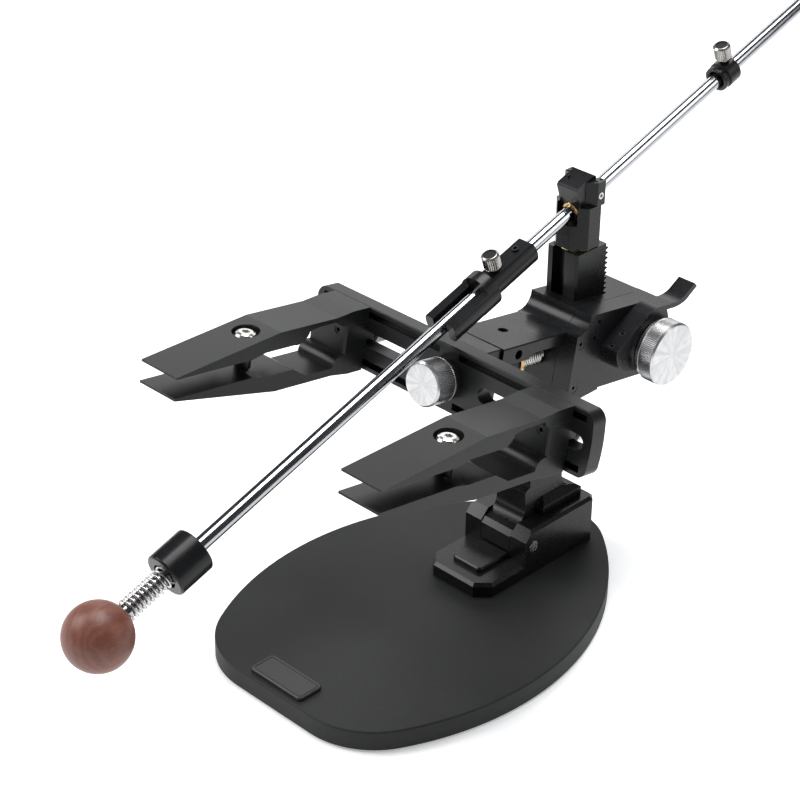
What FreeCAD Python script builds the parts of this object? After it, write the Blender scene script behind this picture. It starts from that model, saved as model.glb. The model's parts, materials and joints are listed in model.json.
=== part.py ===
"""Guided-rod sharpener on a folding stand, as a parametric FreeCAD document.

An egg-shaped base carries a bracket, and a folding arm in the bracket carries the head.
The head holds a crossbar with two clamps for the blade, and a geared column.
A polished rod slides through a swivel on top of the column and carries the stone holders.

Axes: +X to the right of the person working, +Y away from them, +Z up.  The origin is on the
bench, in the plane of symmetry, straight under the front edge of the foot bracket.
"""
import FreeCAD, Part
import math
import os

import Sketcher
from FreeCAD import Placement, Rotation, Vector

doc = FreeCAD.newDocument("GuidedRodSharpener")
sheet = doc.addObject("Spreadsheet::Sheet", "Sizes")


# ---------------------------------------------------------------- lengths and the sheet
class Length:
    """A number together with the spreadsheet formula that gives it."""

    def __init__(self, value, formula):
        self.value = value
        self.formula = formula

    def __add__(self, other):
        other = as_length(other)
        return Length(self.value + other.value, f"({self.formula} + {other.formula})")

    def __sub__(self, other):
        other = as_length(other)
        return Length(self.value - other.value, f"({self.formula} - {other.formula})")

    def __mul__(self, other):
        other = as_length(other)
        return Length(self.value * other.value, f"({self.formula} * {other.formula})")

    def __truediv__(self, other):
        other = as_length(other)
        return Length(self.value / other.value, f"({self.formula} / {other.formula})")

    def __neg__(self):
        return Length(-self.value, f"(0 - {self.formula})")

    def __radd__(self, other):
        return as_length(other) + self

    def __rsub__(self, other):
        return as_length(other) - self

    def __rmul__(self, other):
        return as_length(other) * self


def as_length(number):
    """Let a plain number stand beside the lengths of the sheet."""
    if isinstance(number, Length):
        return number
    return Length(float(number), f"({number:.6f})")


def size(alias, value, note):
    """Write one driving dimension in the next row of the sheet and return it."""
    size.row += 1
    sheet.set(f"A{size.row}", alias)
    sheet.set(f"B{size.row}", str(value))
    sheet.set(f"C{size.row}", note)
    sheet.setAlias(f"B{size.row}", alias)
    return Length(value, f"Sizes.{alias}")


size.row = 0

# Stand
mat_thickness = size("mat_thickness", 1.5, "rubber mat under the base")
mat_inset = size("mat_inset", 3.0, "how far the mat stays inside the base")
base_thickness = size("base_thickness", 12.0, "steel base plate")
base_half_width = size("base_half_width", 92.0, "widest half width of the base")
base_widest_y = size("base_widest_y", -33.0, "where the base is widest")
base_front_y = size("base_front_y", -140.0, "straight front edge")
base_rear_y = size("base_rear_y", 112.0, "tip of the rear arc")
base_front_half = size("base_front_half", 29.0, "half the straight front edge")
base_side_radius = size("base_side_radius", 172.0, "radius of the long side arcs")
edge_round = size("edge_round", 1.2, "rounded top edge of the base")
badge_width = size("badge_width", 40.0, "blank badge on the base")
badge_depth = size("badge_depth", 17.0, "")
badge_height = size("badge_height", 2.4, "")
badge_x = size("badge_x", -2.2, "middle of the badge")
badge_y = size("badge_y", -128.0, "")
foot_half = size("foot_half", 23.5, "half width of the foot bracket")
foot_length = size("foot_length", 97.0, "foot bracket, front to back")
foot_plate_height = size("foot_plate_height", 9.0, "low front plate of the bracket")
foot_block_height = size("foot_block_height", 30.0, "block behind the fold pin")
foot_corner = size("foot_corner", 8.0, "cut corners of the foot plate, in plan")
ear_front_y = size("ear_front_y", 35.0, "front face of the two ears")
ear_chamfer = size("ear_chamfer", 6.0, "slanted front of the ears")
pin_y = size("pin_y", 43.0, "fold pin")
pin_z = size("pin_z", 32.0, "")
pin_radius = size("pin_radius", 4.0, "")
arm_half = size("arm_half", 11.2, "half width of the folding arm")
fold_gap = size("fold_gap", 0.3, "side clearance of moving blocks")
running_gap = size("running_gap", 0.06, "radial clearance of pins and shafts")
latch_half = size("latch_half", 11.0, "half width of the latch")
latch_front_y = size("latch_front_y", 10.5, "")
latch_height = size("latch_height", 3.0, "")
latch_travel = size("latch_travel", 3.0, "")
foot_screw_radius = size("foot_screw_radius", 2.5, "M5 screws under the base")
heel_half = size("heel_half", 16.0, "half width of the arm's heel")

# Head: measured in its own frame, whose origin is on the top plate in front of the column
head_y = size("head_y", 82.1, "origin of the head")
head_z = size("head_z", 172.6, "")
head_pitch = size("head_pitch", 9.34, "degrees, nose up")
head_left = size("head_left", -13.5, "left side of the housing")
head_seam = size("head_seam", 18.3, "seam between housing and side plate")
head_right = size("head_right", 31.0, "right face of the side plate")
head_front = size("head_front", -18.5, "front face")
head_rear = size("head_rear", 51.0, "rear face")
head_depth = size("head_depth", 46.7, "height of the housing")
scoop_radius = size("scoop_radius", 9.5, "hollow between the top plate and the bridge")
bridge_top = size("bridge_top", -11.0, "top of the bridge and of the crossbar")
bridge_thickness = size("bridge_thickness", 7.0, "")
bridge_right = size("bridge_right", 22.5, "")
bridge_nose = size("bridge_nose", -70.0, "front end of the bridge")
nose_rear = size("nose_rear", -48.0, "rear of the thick nose")
nose_bottom = size("nose_bottom", -21.0, "")
clamp_x = size("clamp_x", 3.2, "turning axis of the crossbar, in X")
clamp_z = size("clamp_z", -29.8, "and in height")
gear_y = size("gear_y", 37.5, "pinion axis")
gear_z = size("gear_z", -23.4, "")
shaft_radius = size("shaft_radius", 4.0, "pinion shaft")
knob_radius = size("knob_radius", 18.75, "pinion knob")
knob_face = size("knob_face", 56.5, "outer face of the pinion knob")
knob_width = size("knob_width", 11.5, "knurled rim")
lever_outer = size("lever_outer", 43.0, "outer face of the lock lever")

# Crossbar and clamps
bar_half = size("bar_half", 103.5, "half length of the crossbar")
bar_half_height = size("bar_half_height", 18.8, "")
bar_rear = size("bar_rear", -82.0, "rear face of the crossbar")
bar_thickness = size("bar_thickness", 10.0, "")
bar_slot_half = size("bar_slot_half", 4.5, "half height of the long slots")
bar_hub_half = size("bar_hub_half", 23.3, "solid middle of the crossbar")
bar_end_wall = size("bar_end_wall", 6.5, "solid end outside the slots")
groove_low = size("groove_low", 12.2, "front grooves, from the middle of the crossbar")
groove_high = size("groove_high", 16.2, "")
groove_depth = size("groove_depth", 4.0, "")
rotor_depth = size("rotor_depth", 11.3, "block behind the crossbar")
drum_radius = size("drum_radius", 10.0, "round drum behind that block")
front_knob_radius = size("front_knob_radius", 12.6, "")
front_knob_face = size("front_knob_face", -110.7, "")
jaw_offset = size("jaw_offset", 74.5, "middle of a clamp from the turning axis")
jaw_width = size("jaw_width", 28.0, "")
jaw_back = size("jaw_back", -92.3, "rear of the clamps, against the crossbar")
jaw_tip = size("jaw_tip", -230.7, "front edge of the clamps")
jaw_tip_outer = size("jaw_tip_outer", 6.3, "outer face of the tip from the clamp plane")
jaw_tip_inner = size("jaw_tip_inner", 5.1, "inner face of the tip")
jaw_flat = size("jaw_flat", 17.2, "outer flat from the clamp plane")
jaw_inner = size("jaw_inner", 7.4, "inner flat from the clamp plane")
jaw_thin = size("jaw_thin", 14.6, "underside of the upper jaw over the block")
block_top = size("block_top", 10.7, "top of the block between the jaws")
block_bottom = size("block_bottom", 6.6, "bottom of the block between the jaws")
block_front = size("block_front", -109.0, "front face of that block")
clamp_screw_y = size("clamp_screw_y", -171.6, "clamp screw")
clamp_screw_radius = size("clamp_screw_radius", 3.0, "")
lower_opening = size("lower_opening", 0.65, "clearance round the clamp screw")
jaw_knob_radius = size("jaw_knob_radius", 11.0, "knob behind each clamp")
jaw_knob_length = size("jaw_knob_length", 14.0, "")

# Column
column_front = size("column_front", 82.1, "front face of the column")
column_half = size("column_half", 11.25, "half width of the column")
column_root = size("column_root", 106.65, "rear face, at the roots of the rack")
column_top = size("column_top", 200.3, "")
column_bottom = size("column_bottom", 106.0, "low enough to stay in mesh when raised")
column_y = size("column_y", 94.0, "axis of the column")
column_gap = size("column_gap", 0.12, "sliding clearance of the column")
gear_module = size("gear_module", 1.0, "rack and pinion")
gear_teeth = 15
washer_thickness = size("washer_thickness", 1.7, "brass washer")
neck_half = size("neck_half", 12.25, "half width of the column head")
neck_corner = size("neck_corner", 7.4, "cut corners of the column head")
fork_floor_gap = size("fork_floor_gap", 0.104, "between the fork's floor and the rod over it")
cheek_top = size("cheek_top", 241.0, "")
cheek_foot = size("cheek_foot", 227.0, "")
swivel_half = size("swivel_half", 7.4, "half width of the swivel block")
swivel_y = size("swivel_y", 98.0, "axis of the swivel")
swivel_z = size("swivel_z", 232.5, "")
pivot_radius = size("pivot_radius", 1.95, "ends of the two pivot screws")

# Rod, measured along its own axis from the point over the column axis
rod_radius = size("rod_radius", 4.0, "")
rod_z = size("rod_z", 224.9, "height of the rod over the column axis")
rod_slope = size("rod_slope", 18.8, "degrees, rising to the back")
rod_front = size("rod_front", -356.0, "")
rod_rear = size("rod_rear", 262.0, "")
rod_gap = size("rod_gap", 0.06, "radial clearance of what slides on the rod")
ball_along = size("ball_along", -365.6, "centre of the ball handle")
ball_radius = size("ball_radius", 18.2, "")
front_holder_start = size("front_holder_start", -320.5, "")
front_holder_end = size("front_holder_end", -298.5, "")
front_holder_radius = size("front_holder_radius", 12.5, "")
rod_spring_wire = size("rod_spring_wire", 0.6, "radius of the wire")
rod_spring_play = size("rod_spring_play", 1.0, "between the rod and its spring")
bushing_wall = size("bushing_wall", 1.49, "bronze bushing in the swivel")
bushing_gap = size("bushing_gap", 0.05, "")
rod_spring_turns = 11
fork_tip = size("fork_tip", -115.0, "front end of the rear holder")
flange_front = size("flange_front", -85.0, "")
flange_rear = size("flange_rear", -78.0, "")
flange_radius = size("flange_radius", 11.0, "")
sleeve_rear = size("sleeve_rear", -43.0, "")
sleeve_radius = size("sleeve_radius", 7.8, "")
sleeve_flat = size("sleeve_flat", 6.4, "flat on top of the sleeve")
thumb_radius = size("thumb_radius", 5.0, "thumb screws")
thumb_height = size("thumb_height", 10.0, "")
holder_thumb = size("holder_thumb", -70.2, "thumb screw of the rear holder")
stop_front = size("stop_front", 124.0, "stop collar")
stop_rear = size("stop_rear", 138.0, "")
stop_radius = size("stop_radius", 8.0, "")

base_bottom = mat_thickness
base_top = mat_thickness + base_thickness
foot_plate_top = base_top + foot_plate_height
foot_block_top = base_top + foot_block_height
bar_front = bar_rear - bar_thickness
rod_slope_sine = math.sin(math.radians(rod_slope.value))
rod_slope_cosine = math.cos(math.radians(rod_slope.value))
rod_over_front_edge = rod_z - neck_half * (rod_slope_sine / rod_slope_cosine)
fork_floor = rod_over_front_edge - rod_radius / rod_slope_cosine - fork_floor_gap
rod_spring_radius = rod_radius + rod_spring_play + rod_spring_wire
bushing_radius = rod_radius + rod_gap + bushing_wall
doc.recompute()

HEAD = Placement(Vector(0, head_y.value, head_z.value), Rotation(Vector(1, 0, 0), -head_pitch.value))
ROD = Placement(Vector(0, column_y.value, rod_z.value), Rotation(Vector(1, 0, 0), rod_slope.value))
STAND = Placement()

TURNED = {  # a primitive is made along +Z and turned to lie along the axis asked for
    "x": Rotation(Vector(0, 1, 0), 90),
    "y": Rotation(Vector(1, 0, 0), -90),
    "z": Rotation(),
}
FACING = {  # a sketch in the plane whose normal is the axis, and the way it is extruded
    "x": (Rotation(Vector(1, 1, 1), 120), Vector(1, 0, 0)),
    "y": (Rotation(Vector(1, 0, 0), 90), Vector(0, 1, 0)),
    "z": (Rotation(), Vector(0, 0, 1)),
}


# ---------------------------------------------------------------- building blocks
def bind(item, name, length):
    """Tie one property of an object to the sheet."""
    item.setExpression(name, as_length(length).formula)


def place(item, x, y, z):
    """Tie an object's place to the sheet."""
    for letter, length in zip("xyz", (x, y, z)):
        bind(item, f"Placement.Base.{letter}", length)


def box(x0, x1, y0, y1, z0, z1):
    """A block between two corners."""
    item = doc.addObject("Part::Box", "Block")
    bind(item, "Length", as_length(x1) - x0)
    bind(item, "Width", as_length(y1) - y0)
    bind(item, "Height", as_length(z1) - z0)
    place(item, x0, y0, z0)
    return item


def spot(axis, along, across):
    """The point at a distance along an axis and at two coordinates across it."""
    first, second = across
    return {"x": (along, first, second), "y": (first, along, second), "z": (first, second, along)}[axis]


def cylinder(axis, start, end, across, radius):
    """A round bar along an axis, from start to end."""
    item = doc.addObject("Part::Cylinder", "Round")
    item.Placement = Placement(Vector(), TURNED[axis])
    bind(item, "Radius", radius)
    bind(item, "Height", as_length(end) - start)
    place(item, *spot(axis, start, across))
    return item


def cone(axis, start, end, across, radius_start, radius_end):
    """A round bar whose radius changes evenly."""
    item = doc.addObject("Part::Cone", "Taper")
    item.Placement = Placement(Vector(), TURNED[axis])
    bind(item, "Radius1", radius_start)
    bind(item, "Radius2", radius_end)
    bind(item, "Height", as_length(end) - start)
    place(item, *spot(axis, start, across))
    return item


def hexagon(axis, start, end, across, radius):
    """A six-sided bar, for the sockets of screws."""
    item = doc.addObject("Part::Prism", "Hexagon")
    item.Placement = Placement(Vector(), TURNED[axis])
    item.Polygon = 6
    bind(item, "Circumradius", radius)
    bind(item, "Height", as_length(end) - start)
    place(item, *spot(axis, start, across))
    return item


def arc_centre(first, second, radius):
    """The centre of a short arc: left of the way walked when the radius is positive."""
    chord = second - first
    rise = math.sqrt(radius ** 2 - (chord.Length / 2) ** 2)
    left = Vector(-chord.y, chord.x, 0).normalize()
    return (first + second) / 2 + left * math.copysign(rise, radius)


def outline(points):
    """A closed sketch.  A point is (u, v), or (u, v, radius) when an arc leaves it."""
    sketch = doc.addObject("Sketcher::SketchObject", "Outline")
    corners = [(as_length(point[0]), as_length(point[1])) for point in points]
    spots = [Vector(u.value, v.value, 0) for u, v in corners]
    ends = []
    for index, point in enumerate(points):
        first = spots[index]
        second = spots[(index + 1) % len(points)]
        if len(point) == 2:
            edge = sketch.addGeometry(Part.LineSegment(first, second), False)
            ends.append((edge, 1, 2))
            continue
        radius = as_length(point[2])
        centre = arc_centre(first, second, radius.value)
        circle = Part.Circle(centre, Vector(0, 0, 1), abs(radius.value))
        start, finish = (first, second) if radius.value > 0 else (second, first)
        arc = Part.ArcOfCircle(circle, circle.parameter(start), circle.parameter(finish))
        edge = sketch.addGeometry(arc, False)
        ends.append((edge, 1, 2) if radius.value > 0 else (edge, 2, 1))
        rule = sketch.addConstraint(Sketcher.Constraint("Radius", edge, abs(radius.value)))
        name = f"radius{index}"
        sketch.renameConstraint(rule, name)
        bind(sketch, f"Constraints.{name}", radius if radius.value > 0 else -radius)
    for index, (edge, start, finish) in enumerate(ends):
        following = ends[(index + 1) % len(ends)]
        sketch.addConstraint(Sketcher.Constraint("Coincident", edge, finish, following[0], following[1]))
        for kind, length in zip(("DistanceX", "DistanceY"), corners[index]):
            rule = sketch.addConstraint(
                Sketcher.Constraint(kind, -1, 1, edge, start, length.value))
            name = f"{kind}{index}"
            sketch.renameConstraint(rule, name)
            bind(sketch, f"Constraints.{name}", length)
    return sketch


def prism(axis, start, end, points):
    """An outline pushed along an axis.  It is drawn in (y, z), (x, z) or (x, y)."""
    sketch = outline(points)
    turn, way = FACING[axis]
    sketch.Placement = Placement(Vector(), turn)
    bind(sketch, f"Placement.Base.{axis}", start)
    item = doc.addObject("Part::Extrusion", "Prism")
    item.Base = sketch
    item.DirMode = "Custom"
    item.Dir = way
    item.Solid = True
    bind(item, "LengthFwd", as_length(end) - start)
    return item


def turned(axis, across, points):
    """A piece turned on a lathe: points are (distance along the axis, radius)."""
    sketch = outline([(point[1], point[0], *point[2:]) for point in points])
    item = doc.addObject("Part::Revolution", "Turned")
    item.Source = sketch
    item.Axis = Vector(0, 1, 0)
    item.Base = Vector(0, 0, 0)
    item.Angle = 360
    item.Solid = True
    spin = {"x": Rotation(Vector(0, 0, 1), -90), "y": Rotation(), "z": Rotation(Vector(1, 0, 0), 90)}
    item.Placement = Placement(Vector(), spin[axis])
    place(item, *spot(axis, 0, across))
    return item


def cut(base, *tools):
    """Take tools away from a base."""
    item = doc.addObject("Part::Cut", "Cut")
    item.Base = base
    item.Tool = tools[0] if len(tools) == 1 else join(*tools)
    return item


def join(*pieces):
    """Join pieces into one solid."""
    item = doc.addObject("Part::MultiFuse", "Join")
    item.Shapes = list(pieces)
    item.Refine = True
    return item


def overlap(*pieces):
    """Keep what all pieces share."""
    item = doc.addObject("Part::MultiCommon", "Shared")
    item.Shapes = list(pieces)
    return item


def bevel(base, amount, chosen, rounded=False):
    """Chamfer or round the edges for which chosen(edge centre, edge) is true."""
    doc.recompute()
    item = doc.addObject("Part::Fillet" if rounded else "Part::Chamfer", "Bevel")
    item.Base = base
    number = as_length(amount).value
    edges = enumerate(base.Shape.Edges, 1)
    item.Edges = [(index, number, number) for index, edge in edges if chosen(edge.CenterOfMass, edge)]
    return item


def own_shape(name, shape):
    """A piece whose curve needs Part's own functions, such as a coil or gear teeth."""
    item = doc.addObject("Part::Feature", name)
    item.Shape = shape
    return item


NODES = []


def node(label, frame, *pieces):
    """Finish a sub-part: one solid, or a group of equal fasteners, in its frame."""
    item = doc.addObject("Part::Compound", label)
    item.Links = list(pieces)
    item.Label = label
    item.Placement = frame
    NODES.append(item)
    return item


def near(value, target):
    """True when two distances are the same to a hundredth."""
    return abs(value - as_length(target).value) < 0.01


def socket_screw(axis, face, way, across, radius, length, socket_depth=1.6):
    """A grub screw: its face, the way it points (1 or -1) and its length."""
    end = face + way * length
    low, high = (face, end) if way > 0 else (end, face)
    body = cylinder(axis, low, high, across, radius)
    deep = face + way * socket_depth
    floor, mouth = (face - 1, deep) if way > 0 else (deep, face + 1)
    return cut(body, hexagon(axis, floor, mouth, across, radius * 0.55))


def thumb_screw(along, foot):
    """A knurled screw standing on a holder: head, neck and the shank that presses the rod."""
    top = foot + 1.0 + thumb_height
    neck_radius = thumb_radius * 0.62
    shank_radius = 2.0
    profile = [
        (rod_radius + rod_gap, 0), (top - 0.6, 0),
        (top - 0.6, thumb_radius - 1.4), (top, thumb_radius - 1.2),
        (top - 0.9, thumb_radius), (foot + 2.2, thumb_radius), (foot + 1.2, thumb_radius - 1.0),
        (foot + 1.2, neck_radius), (foot + 0.1, neck_radius), (foot + 0.1, shank_radius),
        (rod_radius + rod_gap, shank_radius),
    ]
    return turned("z", (0, along), profile)


# ---------------------------------------------------------------- stand
def egg_outline(inset):
    """The base outline: a straight front edge, two corner arcs, two side arcs and a rear arc.

    Neighbouring arcs touch where the line through their centres meets them, so the radius of the
    corner and of the rear arc follows from the side radius and the width.
    """
    side = base_side_radius
    centre_x = base_half_width - side
    rear_reach = base_rear_y - base_widest_y
    rear = (side * side - centre_x * centre_x - rear_reach * rear_reach) / ((side - rear_reach) * 2)
    corner_x = base_front_half - centre_x
    front_reach = base_widest_y - base_front_y
    corner = (side * side - corner_x * corner_x - front_reach * front_reach) / ((side - front_reach) * 2)
    rear_centre = base_rear_y - rear
    corner_centre = base_front_y + corner
    far_x = centre_x - side * centre_x / (side - rear)
    far_y = base_widest_y + side * (rear_centre - base_widest_y) / (side - rear)
    low_x = centre_x + side * corner_x / (side - corner)
    low_y = base_widest_y + side * (corner_centre - base_widest_y) / (side - corner)
    tail_x = far_x + (0 - far_x) * inset / rear
    tail_y = far_y + (rear_centre - far_y) * inset / rear
    turn_x = low_x + (base_front_half - low_x) * inset / corner
    turn_y = low_y + (corner_centre - low_y) * inset / corner
    front = base_front_y + inset
    half = base_front_half
    return [
        (-half, front), (half, front, corner - inset), (turn_x, turn_y, side - inset),
        (tail_x, tail_y, rear - inset), (-tail_x, tail_y, side - inset), (-turn_x, turn_y, corner - inset),
    ]


def foot_screw_places():
    """Where the four screws come up through the base into the bracket."""
    return [(x, y) for x in (-16.0, 16.0) for y in (20.0, 80.0)]


def build_base():
    """Heavy plate, rubber mat, blank badge."""
    plate = prism("z", base_bottom, base_top, egg_outline(as_length(0)))
    plate = bevel(plate, edge_round, lambda c, e: near(c.z, base_top), rounded=True)
    heads = [cylinder("z", base_bottom - 1, base_bottom + 5.2, spot_, foot_screw_radius + 2.3)
             for spot_ in foot_screw_places()]
    shanks = [cylinder("z", base_bottom, base_top + 1, spot_, foot_screw_radius + fold_gap)
              for spot_ in foot_screw_places()]
    node("base_plate", STAND, cut(plate, *heads, *shanks))
    node("base_mat", STAND, prism("z", 0, mat_thickness, egg_outline(mat_inset)))
    half = badge_width / 2
    deep = badge_depth / 2
    badge = box(badge_x - half, badge_x + half, badge_y - deep, badge_y + deep,
                base_top, base_top + badge_height)
    badge = bevel(badge, 2.5, lambda c, e: near(c.z, base_top + badge_height / 2), rounded=True)
    node("badge", STAND, bevel(badge, 0.5, lambda c, e: near(c.z, base_top + badge_height)))


def build_foot_bracket():
    """Foot plate with cut corners, two ears round the arm, and the block that the arm rests on."""
    plate = prism("z", base_top, foot_plate_top, [
        (foot_corner - foot_half, 0), (foot_half - foot_corner, 0), (foot_half, foot_corner),
        (foot_half, ear_front_y + 2), (-foot_half, ear_front_y + 2), (-foot_half, foot_corner)])
    plate = bevel(plate, 1.8, lambda c, e: near(c.z, foot_plate_top) and c.y < ear_front_y.value - 12)
    block = prism("x", -foot_half, foot_half, [
        (ear_front_y, base_top), (foot_length, base_top), (foot_length, foot_block_top),
        (ear_front_y + ear_chamfer, foot_block_top), (ear_front_y, foot_block_top - ear_chamfer)])
    block = bevel(block, 3.5, lambda c, e: near(c.y, foot_length) and e.BoundBox.ZLength > 5)
    block = bevel(block, 1.8, lambda c, e: near(c.z, foot_block_top) and c.y > 60)
    knuckle_reach = 12.6
    slot_rear = pin_y + knuckle_reach
    side = arm_half + fold_gap
    slot = box(-side, side, ear_front_y - fold_gap - 0.3, slot_rear,
               pin_z - knuckle_reach, foot_block_top + 1)
    pin_hole = cylinder("x", -foot_half - 1, foot_half + 1, (pin_y, pin_z), pin_radius + running_gap)
    tongue = box(-7.3, 7.3, latch_front_y + 1, ear_front_y, base_top + 2.8, foot_plate_top + 1)
    threads = [cylinder("z", base_top - 1, base_top + 7.2, place_, foot_screw_radius)
               for place_ in foot_screw_places()]
    node("foot_bracket", STAND, cut(join(plate, block), slot, pin_hole, tongue, *threads))
    screws = []
    for place_ in foot_screw_places():
        head = cylinder("z", base_bottom + 0.6, base_bottom + 5.2, place_, foot_screw_radius + 2.0)
        shank = cylinder("z", base_bottom + 5.2, base_top + 7.0, place_, foot_screw_radius)
        socket = hexagon("z", base_bottom, base_bottom + 3.4, place_, 2.3)
        screws.append(cut(join(head, shank), socket))
    node("foot_screws", STAND, *screws)
    pin = cylinder("x", 0.4 - foot_half, foot_half - 0.4, (pin_y, pin_z), pin_radius)
    node("fold_pin", STAND, bevel(pin, 0.6, lambda c, e: abs(c.x) > foot_half.value - 1))


def build_latch():
    """Sliding plate that locks the arm upright, with a tongue in the foot plate."""
    rear = ear_front_y - 1.0
    top = foot_plate_top + latch_height
    plate = box(-latch_half, latch_half, latch_front_y, rear, foot_plate_top + 0.1, top)
    plate = bevel(plate, 2.5, lambda c, e: near(c.y, latch_front_y) and e.BoundBox.ZLength > 1,
                  rounded=True)
    plate = bevel(plate, 0.8, lambda c, e: near(c.z, top) and c.y < rear.value - 1)
    tongue = box(-7, 7, latch_front_y + latch_travel + 1.3, rear, base_top + 3.0, foot_plate_top + 1)
    node("fold_latch", STAND, join(plate, tongue))


def build_arm():
    """Folding arm: a knuckle on the pin, a heel on the block and a sloping seat for the head."""
    pitch = math.tan(math.radians(head_pitch.value))
    seat_front = 57.0
    seat_rear = 79.0
    reach = head_depth.value / math.cos(math.radians(head_pitch.value))
    seat_z = [head_z - reach - (as_length(y) - head_y) * pitch for y in (seat_front, seat_rear)]
    gap = foot_block_top + 0.2
    knuckle_low = pin_z - 8.8
    heel_rear = 91.5
    profile = [
        (ear_front_y, knuckle_low), (pin_y + 5.5, knuckle_low), (pin_y + 11.5, pin_z - 2),
        (pin_y + 11.5, gap), (heel_rear, gap), (heel_rear, gap + 4.5), (88.5, gap + 6.8, -9.5),
        (seat_rear, gap + 16.5),
        (seat_rear, seat_z[1]), (seat_front, seat_z[0]), (51.0, 96.0), (51.0, 63.0), (47.0, 61.0),
        (47.6, 50.4, -10.9), (38.0, 39.5), (ear_front_y, 36.4)]
    core = prism("x", -arm_half, arm_half, profile)
    flare = [
        (-heel_half, gap), (heel_half, gap), (heel_half, gap + 4.5), (arm_half, gap + 9.3),
        (-arm_half, gap + 9.3), (-heel_half, gap + 4.5)]
    heel = overlap(prism("y", pin_y + 15, heel_rear, flare), prism("x", -heel_half, heel_half, [
        (pin_y + 15, gap), (heel_rear, gap), (heel_rear, gap + 4.5), (88.5, gap + 6.8),
        (pin_y + 22, gap + 12), (pin_y + 15, gap + 4)]))
    bore = cylinder("x", -arm_half - 1, arm_half + 1, (pin_y, pin_z), pin_radius + running_gap)
    node("stand_arm", STAND, cut(join(core, heel), bore))


# ---------------------------------------------------------------- head
def in_head(item):
    """Bring a piece that is upright in the stand's frame into the head's frame."""
    wrap = doc.addObject("Part::Compound", "Upright")
    wrap.Links = [item]
    wrap.Placement = HEAD.inverse()
    return wrap


def housing_profile(rear):
    """Side view of the housing: a top plate, a scooped front edge and a flat bottom."""
    lip = head_front + scoop_radius
    return [
        (head_front, -head_depth), (rear, -head_depth), (rear, 0), (lip, 0),
        (lip, bridge_top + scoop_radius, -scoop_radius), (head_front, bridge_top)]


def column_passage():
    """The square hole that the column slides in."""
    return in_head(box(
        -column_half - column_gap, column_half + column_gap, column_front - column_gap,
        column_root + gear_module * 2.25 + 0.35, 60, 260))


def shaft_hole():
    """Hole for the pinion shaft."""
    return cylinder("x", 0, head_right + 1, (gear_y, gear_z), shaft_radius + running_gap)


def build_housing():
    """Housing, bolted side plate and their screws."""
    step = 43.0
    inner = 15.5
    pinion_room = gear_module * (gear_teeth / 2 + 1.0) + 0.5
    body = prism("x", head_left, head_seam, housing_profile(head_rear))
    notch = box(inner, head_seam + 1, step, head_rear + 1, -head_depth - 1, 1)
    gear_bore = cylinder("x", -8.6, head_seam + 1, (gear_y, gear_z), pinion_room)
    rotor_bore = cylinder("y", head_front - 1, head_front + 14, (clamp_x, clamp_z),
                          shaft_radius + 1 + running_gap)
    body = cut(body, notch, gear_bore, rotor_bore, column_passage())
    node("head_housing", HEAD, bevel(
        body, 0.5, lambda c, e: near(c.z, 0) and near(c.y, head_rear)))
    cover = prism("x", head_seam, head_right, housing_profile(head_rear))
    cover = bevel(cover, 0.35, lambda c, e: near(c.x, head_seam))
    plate = join(cover, box(inner, head_seam + 0.5, step, head_rear, -head_depth, 0))
    screw_places = [(-14.5, -16.0), (-14.5, -42.4), (46.5, -42.4)]
    adjusters = [(-0.7, -5.2), (-2.8, -14.4)]
    sinks = [cone("x", head_right - 2.4, head_right + 0.01, place_, 1.6, 3.4) for place_ in screw_places]
    holes = [cylinder("x", head_seam - 1, head_right, place_, 1.6) for place_ in screw_places]
    taps = [cylinder("x", head_seam + 4, head_right + 1, place_, 2.0) for place_ in adjusters]
    node("side_plate", HEAD, cut(plate, shaft_hole(), *sinks, *holes, *taps))
    screws = []
    for place_ in screw_places:
        head = cone("x", head_right - 2.4, head_right - 0.2, place_, 1.55, 3.2)
        shank = cylinder("x", head_seam + 0.5, head_right - 2.4, place_, 1.55)
        socket = hexagon("x", head_right - 1.7, head_right + 1, place_, 1.2)
        screws.append(cut(join(head, shank), socket))
    node("side_screws", HEAD, *screws)
    grubs = [socket_screw("x", head_right - 0.5, -1, place_, as_length(2.0), 7.0) for place_ in adjusters]
    node("gib_screws", HEAD, *grubs)


def build_bridge():
    """Plate from the housing to the turning axis, with a thick nose and a grub screw."""
    hole = (2.4, -48.7)
    plate = prism("x", head_left + 0.5, bridge_right, [
        (bridge_nose, nose_bottom), (nose_rear, nose_bottom), (nose_rear + 4, bridge_top - bridge_thickness),
        (head_front, bridge_top - bridge_thickness), (head_front, bridge_top), (bridge_nose, bridge_top)])
    plate = bevel(plate, 0.6, lambda c, e: near(c.z, bridge_top) and c.y < -20)
    tap = cylinder("z", bridge_top - bridge_thickness - 1, bridge_top + 1, hole, 3.0)
    side_hole = cylinder("x", bridge_right - 9, bridge_right + 1, (-57.0, -16.4), 2.8)
    drum_room = cylinder("y", bridge_nose - 1, nose_rear + 9, (clamp_x, clamp_z), drum_radius + 0.6)
    node("bridge_plate", HEAD, cut(plate, tap, side_hole, drum_room))
    node("bridge_screw", HEAD, socket_screw("z", bridge_top - 1.2, -1, hole, as_length(3.0), 5.2, 2.4))


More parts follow.
